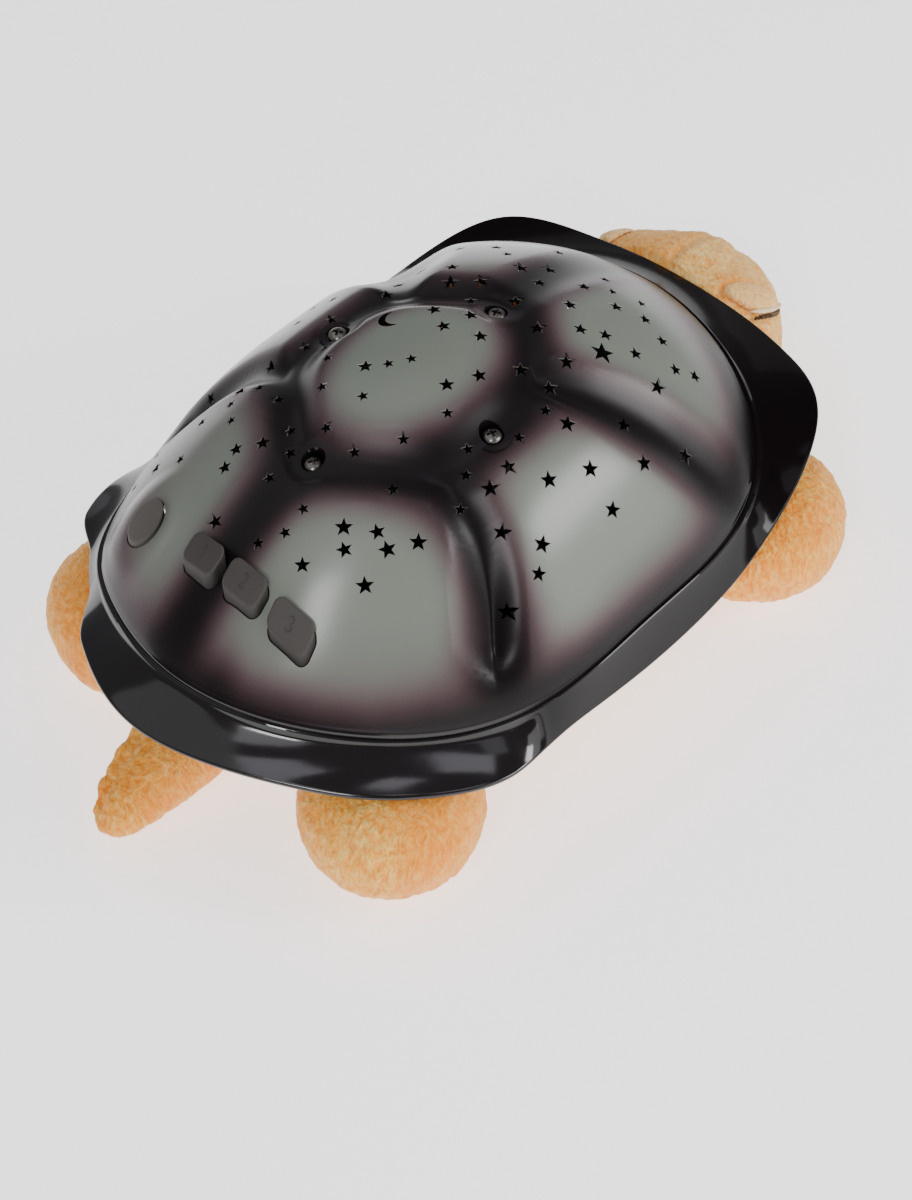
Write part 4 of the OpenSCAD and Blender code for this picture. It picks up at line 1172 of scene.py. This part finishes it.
def build_head():
    nlat, nlon = 40, 64
    rows = []; Q = []
    R = [HEAD_R[0] - 1.0, HEAD_R[1] - 1.0, HEAD_R[2] - 0.9]
    def pt(u, v):
        return (math.cos(v) * math.cos(u) * R[0], math.cos(v) * math.sin(u) * R[1], math.sin(v) * R[2])
    Q.append(pt(0, -math.pi / 2)); rows.append([0])
    for i in range(1, nlat):
        v = -math.pi / 2 + math.pi * i / nlat; row = []
        for j in range(nlon):
            row.append(len(Q)); Q.append(pt(2 * math.pi * j / nlon, v))
        rows.append(row)
    Q.append(pt(0, math.pi / 2)); rows.append([len(Q) - 1])
    F = []
    for a, b in zip(rows[:-1], rows[1:]):
        for j in range(nlon):
            j2 = (j + 1) % nlon
            if len(a) == 1:
                F.append((a[0], b[j2], b[j]))
            elif len(b) == 1:
                F.append((a[j], a[j2], b[0]))
            else:
                F.append((a[j], a[j2], b[j2], b[j]))
    ob = mesh_obj("sewn_head", head_world(head_trim(np.array(Q))), F); fix_normals(ob.data)
    voxel(ob, 4.2)

    def crown_f(co):
        q = head_local(co)
        # two side panels meet in a seam over the crown and down the face
        return q[:, 1] - 1.6 + 0.5 * np.sin(q[:, 0] / 7.0), q[:, 0] - q[:, 2]

    def crown_reg(co):
        q = head_local(co)
        return sstep(-22, -10, q[:, 2])

    def chin_f(co):
        q = head_local(co)
        return q[:, 2] + 9.0 + 0.004 * q[:, 1] ** 2, q[:, 1]

    def chin_reg(co):
        return sstep(0, 8, head_local(co)[:, 0])

    cloth_puff(ob, pin=lambda co: np.maximum(np.exp(-(crown_f(co)[0] / 2.4) ** 2) * crown_reg(co), 0.7 * np.exp(-(chin_f(co)[0] / 2.4) ** 2) * chin_reg(co)), cap=1.4)
    subdivide(ob, 2)
    smooth_mesh(ob, 3, 0.5)
    # the socket the lid is sewn into: a fold round its upper edge
    me = ob.data; co = coords(me) / MM - [SX, 0, 0]; n = vnormals(me)
    q = head_local(co); yaw = np.degrees(np.arctan2(q[:, 1], q[:, 0])); pitch = np.degrees(np.arctan2(q[:, 2], np.hypot(q[:, 0], q[:, 1])))
    fold = np.zeros(len(co)); puff = np.zeros(len(co)); ring = np.zeros(len(co))
    for side in (1, -1):
        T = head_skin(*lid_top(side, np.linspace(0, 1, 40)), 0.0)
        D = np.sqrt(((co[:, None, :] - T[None, :, :]) ** 2).sum(-1)).min(1)
        fold = np.maximum(fold, np.exp(-(D / 1.3) ** 2))
        ring = np.maximum(ring, np.exp(-((D - 2.6) / 2.4) ** 2))
        B = head_skin(*slit_line(side, np.linspace(0, 1, 24)), 0.0)
        D2 = np.sqrt(((co[:, None, :] - B[None, :, :]) ** 2).sum(-1)).min(1)
        puff = np.maximum(puff, np.exp(-(D2 / 1.5) ** 2))
    set_coords(me, (co + [SX, 0, 0] + n * (-1.2 * fold + 0.55 * ring * (1 - fold) - 0.9 * puff)[:, None]) * MM)
    attr(me, "crease", np.clip(fold + puff, 0, 1))
    seam(ob, crown_f, depth=0.95, width=1.2, pucker=0.34, region=crown_reg)
    seam(ob, chin_f, depth=0.7, width=1.2, pucker=0.2, region=chin_reg)
    # gathers running off the crown seam on the near panel
    co = coords(me) / MM - [SX, 0, 0]; n = vnormals(me); q = head_local(co)
    rib = np.sin(q[:, 0] * 2 * np.pi / 3.4 + 2.2 * noise3(co * [1, 0.25, 0.25], 7.0, 6.1)) * np.exp(-((np.abs(q[:, 1] - 1.6) - 5.5) / 4.5) ** 2)
    set_coords(me, (co + [SX, 0, 0] + n * (0.16 * rib * sstep(0, 10, q[:, 2]))[:, None]) * MM)
    # low creases sagging from the brow to the lid
    co = coords(me) / MM - [SX, 0, 0]; n = vnormals(me); q = head_local(co)
    for k, (yy, zz, w, dp) in enumerate(((-15, 26, 2.6, 0.5), (15, 26, 2.6, 0.5), (-20, 10, 3.0, 0.35), (20, 10, 3.0, 0.35))):
        f = (q[:, 1] - yy) * 0.8 + (q[:, 2] - zz) * 0.6
        co = co - n * (dp * np.exp(-(f / w) ** 2) * sstep(-4, 8, q[:, 0]) * sstep(-6, 6, q[:, 2]))[:, None]
    set_coords(me, (co + [SX, 0, 0]) * MM)

    def mottle_and_shade(co, a):
        # painted shade: darker on the far panel, in the fold above each lid, on the near cheek under the shell's rim
        # and along the crown seam; the rest is random mottling
        q = head_local(co)
        far = sstep(0.8, 3.2, q[:, 1])
        T = head_skin(*lid_top(-1, np.linspace(0, 1, 40)), 0.0)
        D = np.sqrt(((co[:, None, :] - T[None, :, :]) ** 2).sum(-1)).min(1)
        T2 = head_skin(*lid_top(1, np.linspace(0, 1, 40)), 0.0)
        D = np.minimum(D, np.sqrt(((co[:, None, :] - T2[None, :, :]) ** 2).sum(-1)).min(1))
        cheek = sstep(-14, -22, q[:, 1]) * sstep(10, -4, q[:, 0])
        return 0.18 * a + 0.62 * far + 0.55 * np.exp(-(D / 3.4) ** 2) + 0.35 * cheek + 0.3 * np.exp(-((q[:, 1] - 1.6) / 1.6) ** 2)
    pile(ob, mottle_and_shade=mottle_and_shade)
    co = under_rim(coords(ob.data) / MM - [SX, 0, 0])
    co[:, 0] = np.maximum(co[:, 0], 102.7)
    co[:, 2] = np.maximum(co[:, 2], 0.4)
    set_coords(ob.data, (co + [SX, 0, 0]) * MM)
    return ob


def polyline_at(pts, w):
    pts = np.array(smooth_line(pts, 8)); L = np.r_[0, np.cumsum(np.linalg.norm(np.diff(pts, axis=0), axis=1))]
    s = np.asarray(w, float) * L[-1]
    return np.interp(s, L, pts[:, 0]), np.interp(s, L, pts[:, 1])


# directions on the head (yaw, pitch) for the near side's lid; the far side mirrors them, a little lower
def lid_place(side, y, p):
    return (-(y + 14.0), p - 15.0) if side > 0 else (y, p)


def lid_top(side, w):
    y, p = polyline_at([(-107, 50), (-97, 53), (-84, 49), (-75, 40), (-69, 29), (-66, 18)], w)
    return lid_place(side, y, p)


def lid_bottom(side, w):
    y, p = polyline_at([(-107, 50), (-102, 42), (-96, 34), (-86, 28), (-76, 22.5), (-66, 18)], w)
    return lid_place(side, y, p)


def rim_line(side, w):
    y, p = polyline_at([(-97, 34), (-90, 30), (-83, 26.5), (-75, 22.5), (-65, 17)], w)
    return lid_place(side, y, p)


def slit_line(side, w):
    y, p = polyline_at([(-97, 29), (-90, 26.5), (-83, 23), (-75, 18.5), (-67, 14)], w)
    return lid_place(side, y, p)


def build_eyelid(side):
    """a smooth lid of paler plush, stuffed, its free edge along the closed eye"""
    name = "sewn_eyelid_" + ("left" if side > 0 else "right")
    nu, nv = 40, 16
    V = []; F = []; idx = {}
    w = np.linspace(0, 1, nu + 1)
    ty, tp = lid_top(side, w); by, bp = lid_bottom(side, w)
    for lvl in (1, 0):
        for j in range(nv + 1):
            v = j / nv
            yy = by + (ty - by) * v; pp = bp + (tp - bp) * v
            e = np.clip(np.minimum(w, 1 - w) * 6.0, 0, 1) ** 0.5
            lip = min(1.0, v * 7.0 + 0.45) * min(1.0, (1 - v) * 3.0) ** 0.5
            h = 0.15 + 2.3 * e * lip * (1 - 0.3 * v)
            P = head_skin(yy, pp, h if lvl else -1.4)
            for i in range(nu + 1):
                idx[(lvl, i, j)] = len(V); V.append(tuple(P[i]))
    for lvl in (1, 0):
        for i in range(nu):
            for j in range(nv):
                q = (idx[(lvl, i, j)], idx[(lvl, i + 1, j)], idx[(lvl, i + 1, j + 1)], idx[(lvl, i, j + 1)])
                F.append(q if lvl else q[::-1])
    for i in range(nu):
        F.append((idx[(0, i, 0)], idx[(0, i + 1, 0)], idx[(1, i + 1, 0)], idx[(1, i, 0)]))
        F.append((idx[(1, i, nv)], idx[(1, i + 1, nv)], idx[(0, i + 1, nv)], idx[(0, i, nv)]))
    for j in range(nv):
        F.append((idx[(1, 0, j)], idx[(1, 0, j + 1)], idx[(0, 0, j + 1)], idx[(0, 0, j)]))
        F.append((idx[(0, nu, j)], idx[(0, nu, j + 1)], idx[(1, nu, j + 1)], idx[(1, nu, j)]))
    ob = mesh_obj(name, V, F); fix_normals(ob.data)
    # close the pointed ends
    bm = bmesh.new(); bm.from_mesh(ob.data)
    bmesh.ops.remove_doubles(bm, verts=bm.verts[:], dist=0.00004)
    bmesh.ops.dissolve_degenerate(bm, edges=bm.edges[:], dist=0.00001)
    bm.to_mesh(ob.data); bm.free()
    voxel(ob, 0.9)
    smooth_mesh(ob, 4, 0.5)
    pile(ob, amp=0.08)
    co = under_rim(coords(ob.data) / MM - [SX, 0, 0])
    set_coords(ob.data, (co + [SX, 0, 0]) * MM)
    return ob


def tube_along(name, pts, r, n=10, taper=True):
    pts = [np.array(p, float) for p in pts]
    V = []; F = []
    up = np.array([0, 0, 1.0])
    for i, p in enumerate(pts):
        a = pts[max(0, i - 1)]; b = pts[min(len(pts) - 1, i + 1)]
        t = (b - a) / (np.linalg.norm(b - a) + 1e-9)
        x = np.cross(t, up); x /= np.linalg.norm(x) + 1e-9; y = np.cross(x, t)
        f = i / (len(pts) - 1)
        rr = r * (min(1, 6 * f + 0.25, 6 * (1 - f) + 0.25) if taper else 1)
        for k in range(n):
            c = 2 * math.pi * k / n
            V.append(tuple(p + rr * (math.cos(c) * x + math.sin(c) * y)))
    for i in range(len(pts) - 1):
        for k in range(n):
            F.append((i * n + k, i * n + (k + 1) % n, (i + 1) * n + (k + 1) % n, (i + 1) * n + k))
    F.append(tuple(range(n))[::-1]); F.append(tuple((len(pts) - 1) * n + k for k in range(n)))
    return V, F


def build_eye_line(side):
    """closed eye: a thick fold of dark thread, stitch by stitch, under the lid's edge"""
    V = []; F = []
    n = 26
    for k in range(n):
        q = np.linspace(0, 1, 7)
        w = np.clip((k - 0.35 + 1.6 * q) / n, 0, 1)
        yy, pp = slit_line(side, w)
        e = min(1.0, 5.0 * (k + 1) / n, 5.0 * (n - k) / n)
        P = head_skin(yy, pp + 0.22 * np.sin(q * math.pi) * (1 if k % 2 else -1), 0.12 + 0.25 * np.sin(q * math.pi))
        v, f = tube_along("t", list(P), 0.42 + 0.34 * e, 8)
        b = len(V); V += v; F += [tuple(b + i for i in g) for g in f]
    ob = mesh_obj("stitched_eye_" + ("left" if side > 0 else "right"), V, F); fix_normals(ob.data)
    return ob


def build_lid_rim(side):
    """pale piping along the lid's free edge"""
    w = np.linspace(0, 1, 33)
    yy, pp = rim_line(side, w)
    P = head_skin(yy, pp - 0.6, 1.5 * np.clip(np.minimum(w, 1 - w) * 6, 0, 1) ** 0.5 + 0.1)
    v, f = tube_along("t", list(P), 0.8, 12)
    ob = mesh_obj("lid_rim_" + ("left" if side > 0 else "right"), v, f); fix_normals(ob.data)
    return ob


def build_tail():
    """lathe-like stuffed tail along its own axis, pinched seam on its upper left edge"""
    base = np.array([-102.5, 8.5, 23.0]); ang = math.radians(-103)
    # local z axis of the CAD solid
    d = np.array([math.sin(ang), 0, math.cos(ang)])
    prof = [(0, 0.3), (9.0, 0.3), (13.6, 1.2), (14.6, 4.0), (14.9, 7), (14.3, 13), (12.6, 22), (10.4, 31), (8.3, 37), (6.1, 41), (3.2, 43.6), (0, 44.4)]
    up = np.array([0, 1.0, 0]); side = np.cross(d, up); side /= np.linalg.norm(side); up = np.cross(side, d)
    V = []; rows = []; n = 36
    for r, z in prof:
        bend = 2.2 * (z / 44) ** 2
        c = base + d * z + np.array([0, -bend, 0])
        if r == 0:
            rows.append([len(V)]); V.append(tuple(c)); continue
        row = []
        for j in range(n):
            a = 2 * math.pi * j / n
            row.append(len(V)); V.append(tuple(c + r * (math.cos(a) * up + math.sin(a) * side)))
        rows.append(row)
    F = []
    for a, b in zip(rows[:-1], rows[1:]):
        for j in range(n):
            j2 = (j + 1) % n
            if len(a) == 1:
                F.append((a[0], b[j2], b[j]))
            elif len(b) == 1:
                F.append((a[j], a[j2], b[0]))
            else:
                F.append((a[j], a[j2], b[j2], b[j]))
    ob = mesh_obj("sewn_tail", V, F); fix_normals(ob.data)
    voxel(ob, 2.8)

    def loc(co):
        q = co - base
        z = q @ d
        y = q @ up + 2.2 * (np.clip(z, 0, 44) / 44) ** 2; x = q @ side
        return x, y, z

    def seam_f(co):
        x, y, z = loc(co)
        a = np.arctan2(x * 1.0, y)
        f = (a - math.radians(-48))
        f = (f + np.pi) % (2 * np.pi) - np.pi
        return f * 9.0, z
    cloth_puff(ob, pin=lambda co: np.maximum(np.exp(-(seam_f(co)[0] / 2.0) ** 2), sstep(4, 0, loc(co)[2])), cap=1.0, frames=10)
    subdivide(ob, 1)
    smooth_mesh(ob, 3, 0.5)
    # the seam allowance is pinched into a low ridge
    me = ob.data; co = coords(me) / MM - [SX, 0, 0]; nrm = vnormals(me)
    f, along = seam_f(co)
    g = 1.3 * np.exp(-(f / 1.5) ** 2) - 0.75 * np.exp(-((np.abs(f) - 3.2) / 1.4) ** 2)
    g = g + 0.5 * np.exp(-(f / 3.0) ** 2) * np.sin(along * 2 * np.pi / 6.5 + 2 * noise3(co, 8.0, 1.0))
    # loose folds where the stuffing thins
    x, y, z = loc(co)
    g = g * sstep(1, 6, z) - 0.5 * sstep(30, 42, z) * np.abs(noise3(co * [0.5, 1, 1], 5.0, 8.0))
    set_coords(me, (co + [SX, 0, 0] + nrm * g[:, None]) * MM)
    subdivide(ob, 1)
    pile(ob, mottle_and_shade=lambda co, a: 0.5 * a + 0.15)
    return ob


def build_torso():
    """belly bowl under the shell with the tub let into it"""
    tx, hl, hw, cr = 2.0, 64.4, 50.4, 30.4
    n = 144
    prof = [(54, 8.2), (58, 8.9), (61, 10.0), (64.2, 11.8), (67, 14.0), (69.6, 17.2), (72, 20.6), (74, 24), (76, 28.4), (77.9, 32.4), (79.2, 36.4),
            (80.6, 40), (81.3, 43.4), (81.6, 47), (81.7, 50), (81.1, 54), (79.9, 56.2), (78.4, 57.3), (76.2, 57.8)]
    ang = np.linspace(0, 2 * np.pi, n, endpoint=False)
    rows = []
    def inner_r(a, grow):
        # ray from (tx,0) to the tub's rounded outline
        L, W, R = hl + grow, hw + grow, cr + grow
        dx, dy = abs(math.cos(a)), abs(math.sin(a))
        lo, hi = 0.0, 200.0
        for _ in range(40):
            m = 0.5 * (lo + hi); x, y = m * dx, m * dy
            qx, qy = x - (L - R), y - (W - R)
            dd = math.hypot(max(qx, 0), max(qy, 0)) + min(max(qx, qy), 0) - R
            if dd < 0: lo = m
            else: hi = m
        return lo
    ex = []
    for grow, z in ((0.0, 49.0), (0.0, 40), (0.0, 30), (0.0, 20), (0.0, 13), (0.4, 10.2), (1.5, 8.6)):
        rows.append([(tx + (inner_r(a, grow)) * math.cos(a), inner_r(a, grow) * math.sin(a), z) for a in ang])
    for r, z in prof:
        row = []
        for a in ang:
            rx = r * 1.25
            # feet and head press into the belly
            x, y = rx * math.cos(a), r * math.sin(a)
            ir = inner_r(math.atan2(y, x - tx), 2.6)
            if math.hypot(x - tx, y) < ir:
                k = ir / math.hypot(x - tx, y); x, y = tx + (x - tx) * k, y * k
            for fx, fy in FOOT_C.values():
                dd = math.hypot(x - fx, y - fy)
                if dd < FOOT_R + 0.6:
                    # slide in towards the middle
                    L = math.hypot(x, y); step = 0
                    while math.hypot(x - fx, y - fy) < FOOT_R + 0.6 and step < 200:
                        x -= x / L * 0.5; y -= y / L * 0.5; step += 1
                    ir = inner_r(math.atan2(y, x - tx), 0.8)
                    if math.hypot(x - tx, y) < ir:
                        k = ir / math.hypot(x - tx, y); x, y = tx + (x - tx) * k, y * k
            x = min(101.6, max(-101.6, x))
            row.append((x, y, z))
        rows.append(row)
    for grow, z in ((8.6, 57.2), (7.6, 55.5), (7.2, 51.0), (1.2, 49.4)):
        row = []
        for a in ang:
            rr = inner_r(a, grow); x, y = tx + rr * math.cos(a), rr * math.sin(a)
            zz = z
            if x < -62 and abs(y) < 50:
                x = min(x, -97.6) if z > 49.5 else x
            row.append((x, y, zz))
        rows.append(row)
    V = [p for r in rows for p in r]; F = []
    R = len(rows)
    for k in range(R):
        a0, b0 = k * n, ((k + 1) % R) * n
        for j in range(n):
            F.append((a0 + j, a0 + (j + 1) % n, b0 + (j + 1) % n, b0 + j))
    ob = mesh_obj("sewn_belly", V, F); fix_normals(ob.data)
    m = ob.modifiers.new("s", "SUBSURF"); m.levels = 2; m.render_levels = 2
    apply_mod(ob, m)
    def side_f(co):
        return co[:, 2] - (30 + 2.0 * np.sin(np.arctan2(co[:, 1], co[:, 0]) * 2)), np.arctan2(co[:, 1], co[:, 0]) * 85
    outer = lambda co: sstep(0, 3, np.hypot((co[:, 0]) / 1.25, co[:, 1]) - 58)
    seam(ob, side_f, depth=0.7, width=1.3, pucker=0.25, region=outer)
    pile(ob, keep=lambda co: sstep(9.0, 11.0, co[:, 2] + 0 * co[:, 0]) * outer(co) + 0.0)
    # pressed down under the button board, clear of the switches
    co = coords(ob.data) / MM - [SX, 0, 0]
    away = np.maximum(np.maximum(-95.2 - co[:, 0], co[:, 0] + 37.0), np.abs(co[:, 1]) - 47.0)
    co[:, 2] = np.minimum(co[:, 2], 49.3 + 40 * np.clip(away / 6.0, 0, 1))
    set_coords(ob.data, (co + [SX, 0, 0]) * MM)
    return ob


# ============================================================ assemble ======
M_SHELL = shell_material()
def key_rubber(name, col):
    """matte key rubber, with painted shade darkening its walls down into the gaps"""
    m = plastic(name, col, rough=0.62, var=0.05, bump=0.22, grain=2600.0, spec=0.35)
    nt = m.node_tree; b = [n for n in nt.nodes if n.type == "BSDF_PRINCIPLED"][0]
    # painted shade: the walls are mixed towards near-black down into the gaps
    at = N(nt, "ShaderNodeAttribute", attribute_name="unshaded_top")
    src = b.inputs["Base Color"].links[0].from_socket
    nt.links.new(mixcol(nt, at.outputs["Fac"], mixcol(nt, 0.72, src, rgb8(14, 12, 12)), src), b.inputs["Base Color"])
    return m


M_BTN = key_rubber("button_rubber", rgb8(76, 72, 68))
M_BTN2 = key_rubber("color_key_rubber", rgb8(60, 56, 53))
M_STEEL = plastic("nickel_screw", rgb8(112, 108, 104), rough=0.3, var=0.05, bump=0.05, grain=1200.0, metal=1.0)
M_ABS = plastic("housing_plastic", rgb8(46, 44, 45), rough=0.48, var=0.06, bump=0.2, grain=2200.0)
M_DARK = plastic("dark_plastic", rgb8(34, 34, 36), rough=0.5, var=0.08, bump=0.15, grain=1800.0)
M_PCB = plastic("solder_mask", rgb8(26, 92, 58), rough=0.36, var=0.12, bump=0.1, grain=700.0, coat=0.3)
M_RIB = plastic("ribbon_cable", rgb8(205, 205, 198), rough=0.5, var=0.06, bump=0.3, grain=1400.0)
M_RES = plastic("resistor_body", rgb8(206, 176, 126), rough=0.4, var=0.15, bump=0.1, grain=900.0)
M_CAP = plastic("capacitor_sleeve", rgb8(34, 44, 96), rough=0.3, var=0.08, bump=0.05, grain=600.0, coat=0.4)
M_CELL = plastic("cell_sleeve", rgb8(58, 66, 78), rough=0.28, var=0.1, bump=0.04, grain=500.0, metal=0.4, coat=0.3)
M_CON = plastic("contact_metal", rgb8(190, 184, 160), rough=0.26, var=0.08, bump=0.06, grain=900.0, metal=1.0)
M_RED = plastic("lead_red", rgb8(168, 26, 22), rough=0.42, var=0.06, bump=0.1, grain=900.0)
M_BLK = plastic("lead_black", rgb8(20, 20, 21), rough=0.42, var=0.1, bump=0.1, grain=900.0)
M_PLUSH = plush_material("plush_tan", rgb8(255, 178, 66), rgb8(240, 134, 30), rgb8(255, 218, 128))
M_PLUSH2 = plush_material("plush_face", rgb8(255, 204, 116), rgb8(245, 152, 50), rgb8(255, 232, 166))
M_LID = plush_material("plush_lid", rgb8(255, 218, 152), rgb8(248, 190, 108), rgb8(255, 236, 190))
M_RIM = plush_material("lid_piping", rgb8(250, 232, 200), rgb8(236, 204, 158), rgb8(255, 244, 222))
M_EYE = plush_material("eye_thread", rgb8(58, 34, 22), rgb8(30, 16, 12), rgb8(92, 58, 38))


def led_mat(name, col):
    m, nt, b = new_mat(name)
    vec = objcoord(nt)
    n1 = noise_node(nt, vec, 160.0, 2.0)
    r = ramp(nt, [(0.3, tuple(c * 0.85 for c in col)), (0.7, col)], n1.outputs["Fac"])
    nt.links.new(r.outputs["Color"], b.inputs["Base Color"])
    b.inputs["Roughness"].default_value = 0.08
    b.inputs["Transmission Weight"].default_value = 0.55
    b.inputs["Coat Weight"].default_value = 0.5
    return m


def set_mat(ob, mat):
    ob.data.materials.clear(); ob.data.materials.append(mat)


CAD = {
    "switch_plunger_power": M_DARK, "switch_plunger_1": M_DARK, "switch_plunger_2": M_DARK, "switch_plunger_3": M_DARK,
    "switch_bodies": M_DARK, "button_board": M_PCB, "button_board_screws": M_STEEL, "button_frame": M_ABS,
    "frame_screws": M_STEEL, "button_ribbon": M_RIB, "base_housing": M_ABS, "main_board": M_PCB, "board_screws": M_STEEL,
    "controller_chip": M_DARK, "resistors": M_RES, "capacitor": M_CAP, "led_post": M_ABS,
    "led_blue": led_mat("led_blue_epoxy", rgb8(96, 140, 245)), "led_green": led_mat("led_green_epoxy", rgb8(110, 225, 140)),
    "led_amber": led_mat("led_amber_epoxy", rgb8(250, 178, 66)), "battery_door": M_ABS,
    "battery_cells": M_CELL, "battery_springs": M_CON, "battery_plates": M_CON, "battery_lead_red": M_RED, "battery_lead_black": M_BLK}
for n_, m_ in CAD.items():
    o_ = frame["nodes"][n_] if not isinstance(frame["nodes"], (list, tuple)) else bpy.data.objects[n_]
    o_.data.materials.clear(); o_.data.materials.append(m_)


def place(ob, mat, body, slot, *nodes):
    set_mat(ob, mat)
    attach(ob, body)
    if nodes:
        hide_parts(*nodes)
    return ob


def reach(ob, x0, x1, d):
    """the root of a sewn-on piece runs in to the torso: x from x0 (still) to x1 (moved by d), shell frame"""
    co = coords(ob.data) / MM - [SX, 0, 0]
    co[:, 0] += d * sstep(x0, x1, co[:, 0])
    set_coords(ob.data, (co + [SX, 0, 0]) * MM)


shell = finish_shell(build_shell())
place(shell, M_SHELL, ROOT, "shell", "shell_cover")

o = cap_mesh("power_key_cap", BTN_P[0], BTN_P[1], 0,
             np.stack([6.3 * np.cos(np.linspace(0, 2 * np.pi, 56, endpoint=False)), 6.3 * np.sin(np.linspace(0, 2 * np.pi, 56, endpoint=False))], -1),
             2.0, crown=0.3, bev=0.7, slope=KEY_SLOPE)
place(o, M_BTN, "power_key", "button", "power_button")
for i, (cx, cy, rot) in enumerate(CAPS):
    o = cap_mesh("color_key_cap_%d" % (i + 1), cx, cy, rot, rounded(CAP_L / 2, CAP_W / 2, CAP_R, 10), 4.6, digit=str(i + 1))
    place(o, M_BTN2, "color_key_%d" % (i + 1), "button", "color_button_%d" % (i + 1))

o = screw_mesh("shell_screw_set", POSTS, 6.4, 3.0, 2.9, 14.0, (0.85, 3.5), turn0=0.5)
place(o, M_STEEL, ROOT, "screw", "shell_screws")
o = screw_mesh("lid_screw_slotted", [(8, -33, 11.3)], 5.2, 1.3, 2.4, 4.4, (0.8, 3.4), turn0=0.3, flip=True)
place(o, M_STEEL, "battery_lid", "screw", "battery_door_screw")

for n_ in FOOT_C:
    o = build_foot(n_)
    place(o, M_PLUSH, ROOT, "plush", n_)
head = build_head(); reach(head, 116.0, 107.0, -5.0)
place(head, M_PLUSH2, ROOT, "plush", "plush_head")
for s_, nm in ((1, "left"), (-1, "right")):
    o = build_eyelid(s_); place(o, M_LID, ROOT, "plush_light", "eyelid_" + nm)
    o = build_lid_rim(s_); place(o, M_RIM, ROOT, "plush_light")
    o = build_eye_line(s_); place(o, M_EYE, ROOT, "eye_thread", "eye_seam_" + nm)
tail = build_tail(); reach(tail, -116.0, -104.5, 9.0); place(tail, M_PLUSH, ROOT, "plush", "plush_tail")
belly = build_torso(); place(belly, M_PLUSH, ROOT, "plush", "plush_torso")

# ======================================================= stage and camera ===
def floor():
    V = [(-3, -3, 0), (3, -3, 0), (3, 3, 0), (-3, 3, 0)]
    me = bpy.data.meshes.new("floor"); me.from_pydata(V, [], [(0, 1, 2, 3)]); me.update()
    ob = bpy.data.objects.new("floor", me); bpy.context.scene.collection.objects.link(ob)
    m, nt, b = new_mat("floor_paper")
    vec = objcoord(nt); n1 = noise_node(nt, vec, 6.0, 2.0)
    r = ramp(nt, [(0.3, (0.88, 0.88, 0.885)), (0.7, (0.9, 0.9, 0.9))], n1.outputs["Fac"])
    nt.links.new(r.outputs["Color"], b.inputs["Base Color"]); b.inputs["Roughness"].default_value = 0.95
    b.inputs["Emission Color"].default_value = (1, 1, 1, 1); b.inputs["Emission Strength"].default_value = 1.3
    b.inputs["Specular IOR Level"].default_value = 0.1
    ob.data.materials.append(m)


floor()


def area(name, loc, target, size, power, color=(1, 1, 1), size_y=None):
    li = bpy.data.lights.new(name, "AREA"); li.energy = power; li.color = color
    li.shape = "RECTANGLE"; li.size = size; li.size_y = size_y or size
    ob = bpy.data.objects.new(name, li); bpy.context.scene.collection.objects.link(ob)
    ob.location = loc
    d = Vector(target) - Vector(loc)
    ob.rotation_euler = d.to_track_quat("-Z", "Y").to_euler()
    return ob


def camera():
    e, phi, roll, f, dist, ox, oy = math.radians(48.9), math.radians(42.8), math.radians(-4.0), 2759.0, 889.0, -7.3, 36.3
    right = Vector((math.cos(phi), -math.sin(phi), 0)); back = Vector((-math.sin(phi) * math.cos(e), -math.cos(phi) * math.cos(e), math.sin(e)))
    up = back.cross(right)
    r2 = right * math.cos(roll) + up * math.sin(roll); u2 = -right * math.sin(roll) + up * math.cos(roll)
    C = Vector((0, 0, 60)) + back * dist - r2 * ox - u2 * oy + Vector((SX, 0, 0))
    cam = bpy.data.cameras.new("camera"); ob = bpy.data.objects.new("camera", cam)
    bpy.context.scene.collection.objects.link(ob)
    M = Matrix(((r2.x, u2.x, back.x, C.x * MM), (r2.y, u2.y, back.y, C.y * MM), (r2.z, u2.z, back.z, C.z * MM), (0, 0, 0, 1)))
    ob.matrix_world = M
    cam.sensor_fit = "AUTO"; cam.sensor_width = 36.0
    cam.lens = 36.0 * f / 1200.0
    cam.clip_start = 0.02; cam.clip_end = 20
    cam.dof.use_dof = False
    bpy.context.scene.camera = ob
    return ob, r2, u2, back


cam, c_r, c_u, c_b = camera()
world = bpy.data.worlds.new("studio"); bpy.context.scene.world = world
world.use_nodes = True
bg = world.node_tree.nodes["Background"]
bg.inputs["Color"].default_value = (0.93, 0.91, 0.97, 1); bg.inputs["Strength"].default_value = 0.3


def box_at(name, az, el, dist, size, size_y, radiance, color=(1, 1, 1)):
    a, b = math.radians(az), math.radians(el)
    p = (dist * math.cos(b) * math.cos(a), dist * math.cos(b) * math.sin(a), 0.06 + dist * math.sin(b))
    return area(name, p, (0, 0, 0.06), size, radiance * math.pi * size * size_y, color, size_y)


box_at("right_box", -64, 22, 1.35, 1.1, 0.66, 2.6)
box_at("key_box", -59, 31, 1.33, 0.42, 0.28, 15.0)
box_at("streak_box", -149, 42, 1.5, 0.24, 0.56, 19.0, (1.0, 0.985, 1.0))
box_at("flare_l", -149, 57, 1.5, 0.34, 0.28, 2.2, (0.96, 0.94, 1.0))
box_at("flare_r", -72, 58, 1.5, 0.36, 0.28, 0.9, (0.96, 0.94, 1.0))
box_at("top_a", -154, 78, 1.5, 0.2, 0.34, 2.4, (0.93, 0.9, 1.0))
box_at("top_b", 5, 77, 1.5, 0.15, 0.17, 2.6, (0.93, 0.9, 1.0))
box_at("top_c", -45, 68, 1.5, 0.34, 0.34, 2.4, (0.93, 0.9, 1.0))
box_at("left_box", 118, 62, 1.7, 2.2, 1.5, 0.6)
box_at("far_box", 46, 16, 1.8, 1.9, 0.6, 0.3, (0.97, 0.96, 1.0))
box_at("low_box", -96, 5, 1.25, 1.5, 0.2, 2.2, (1.0, 0.96, 0.9))
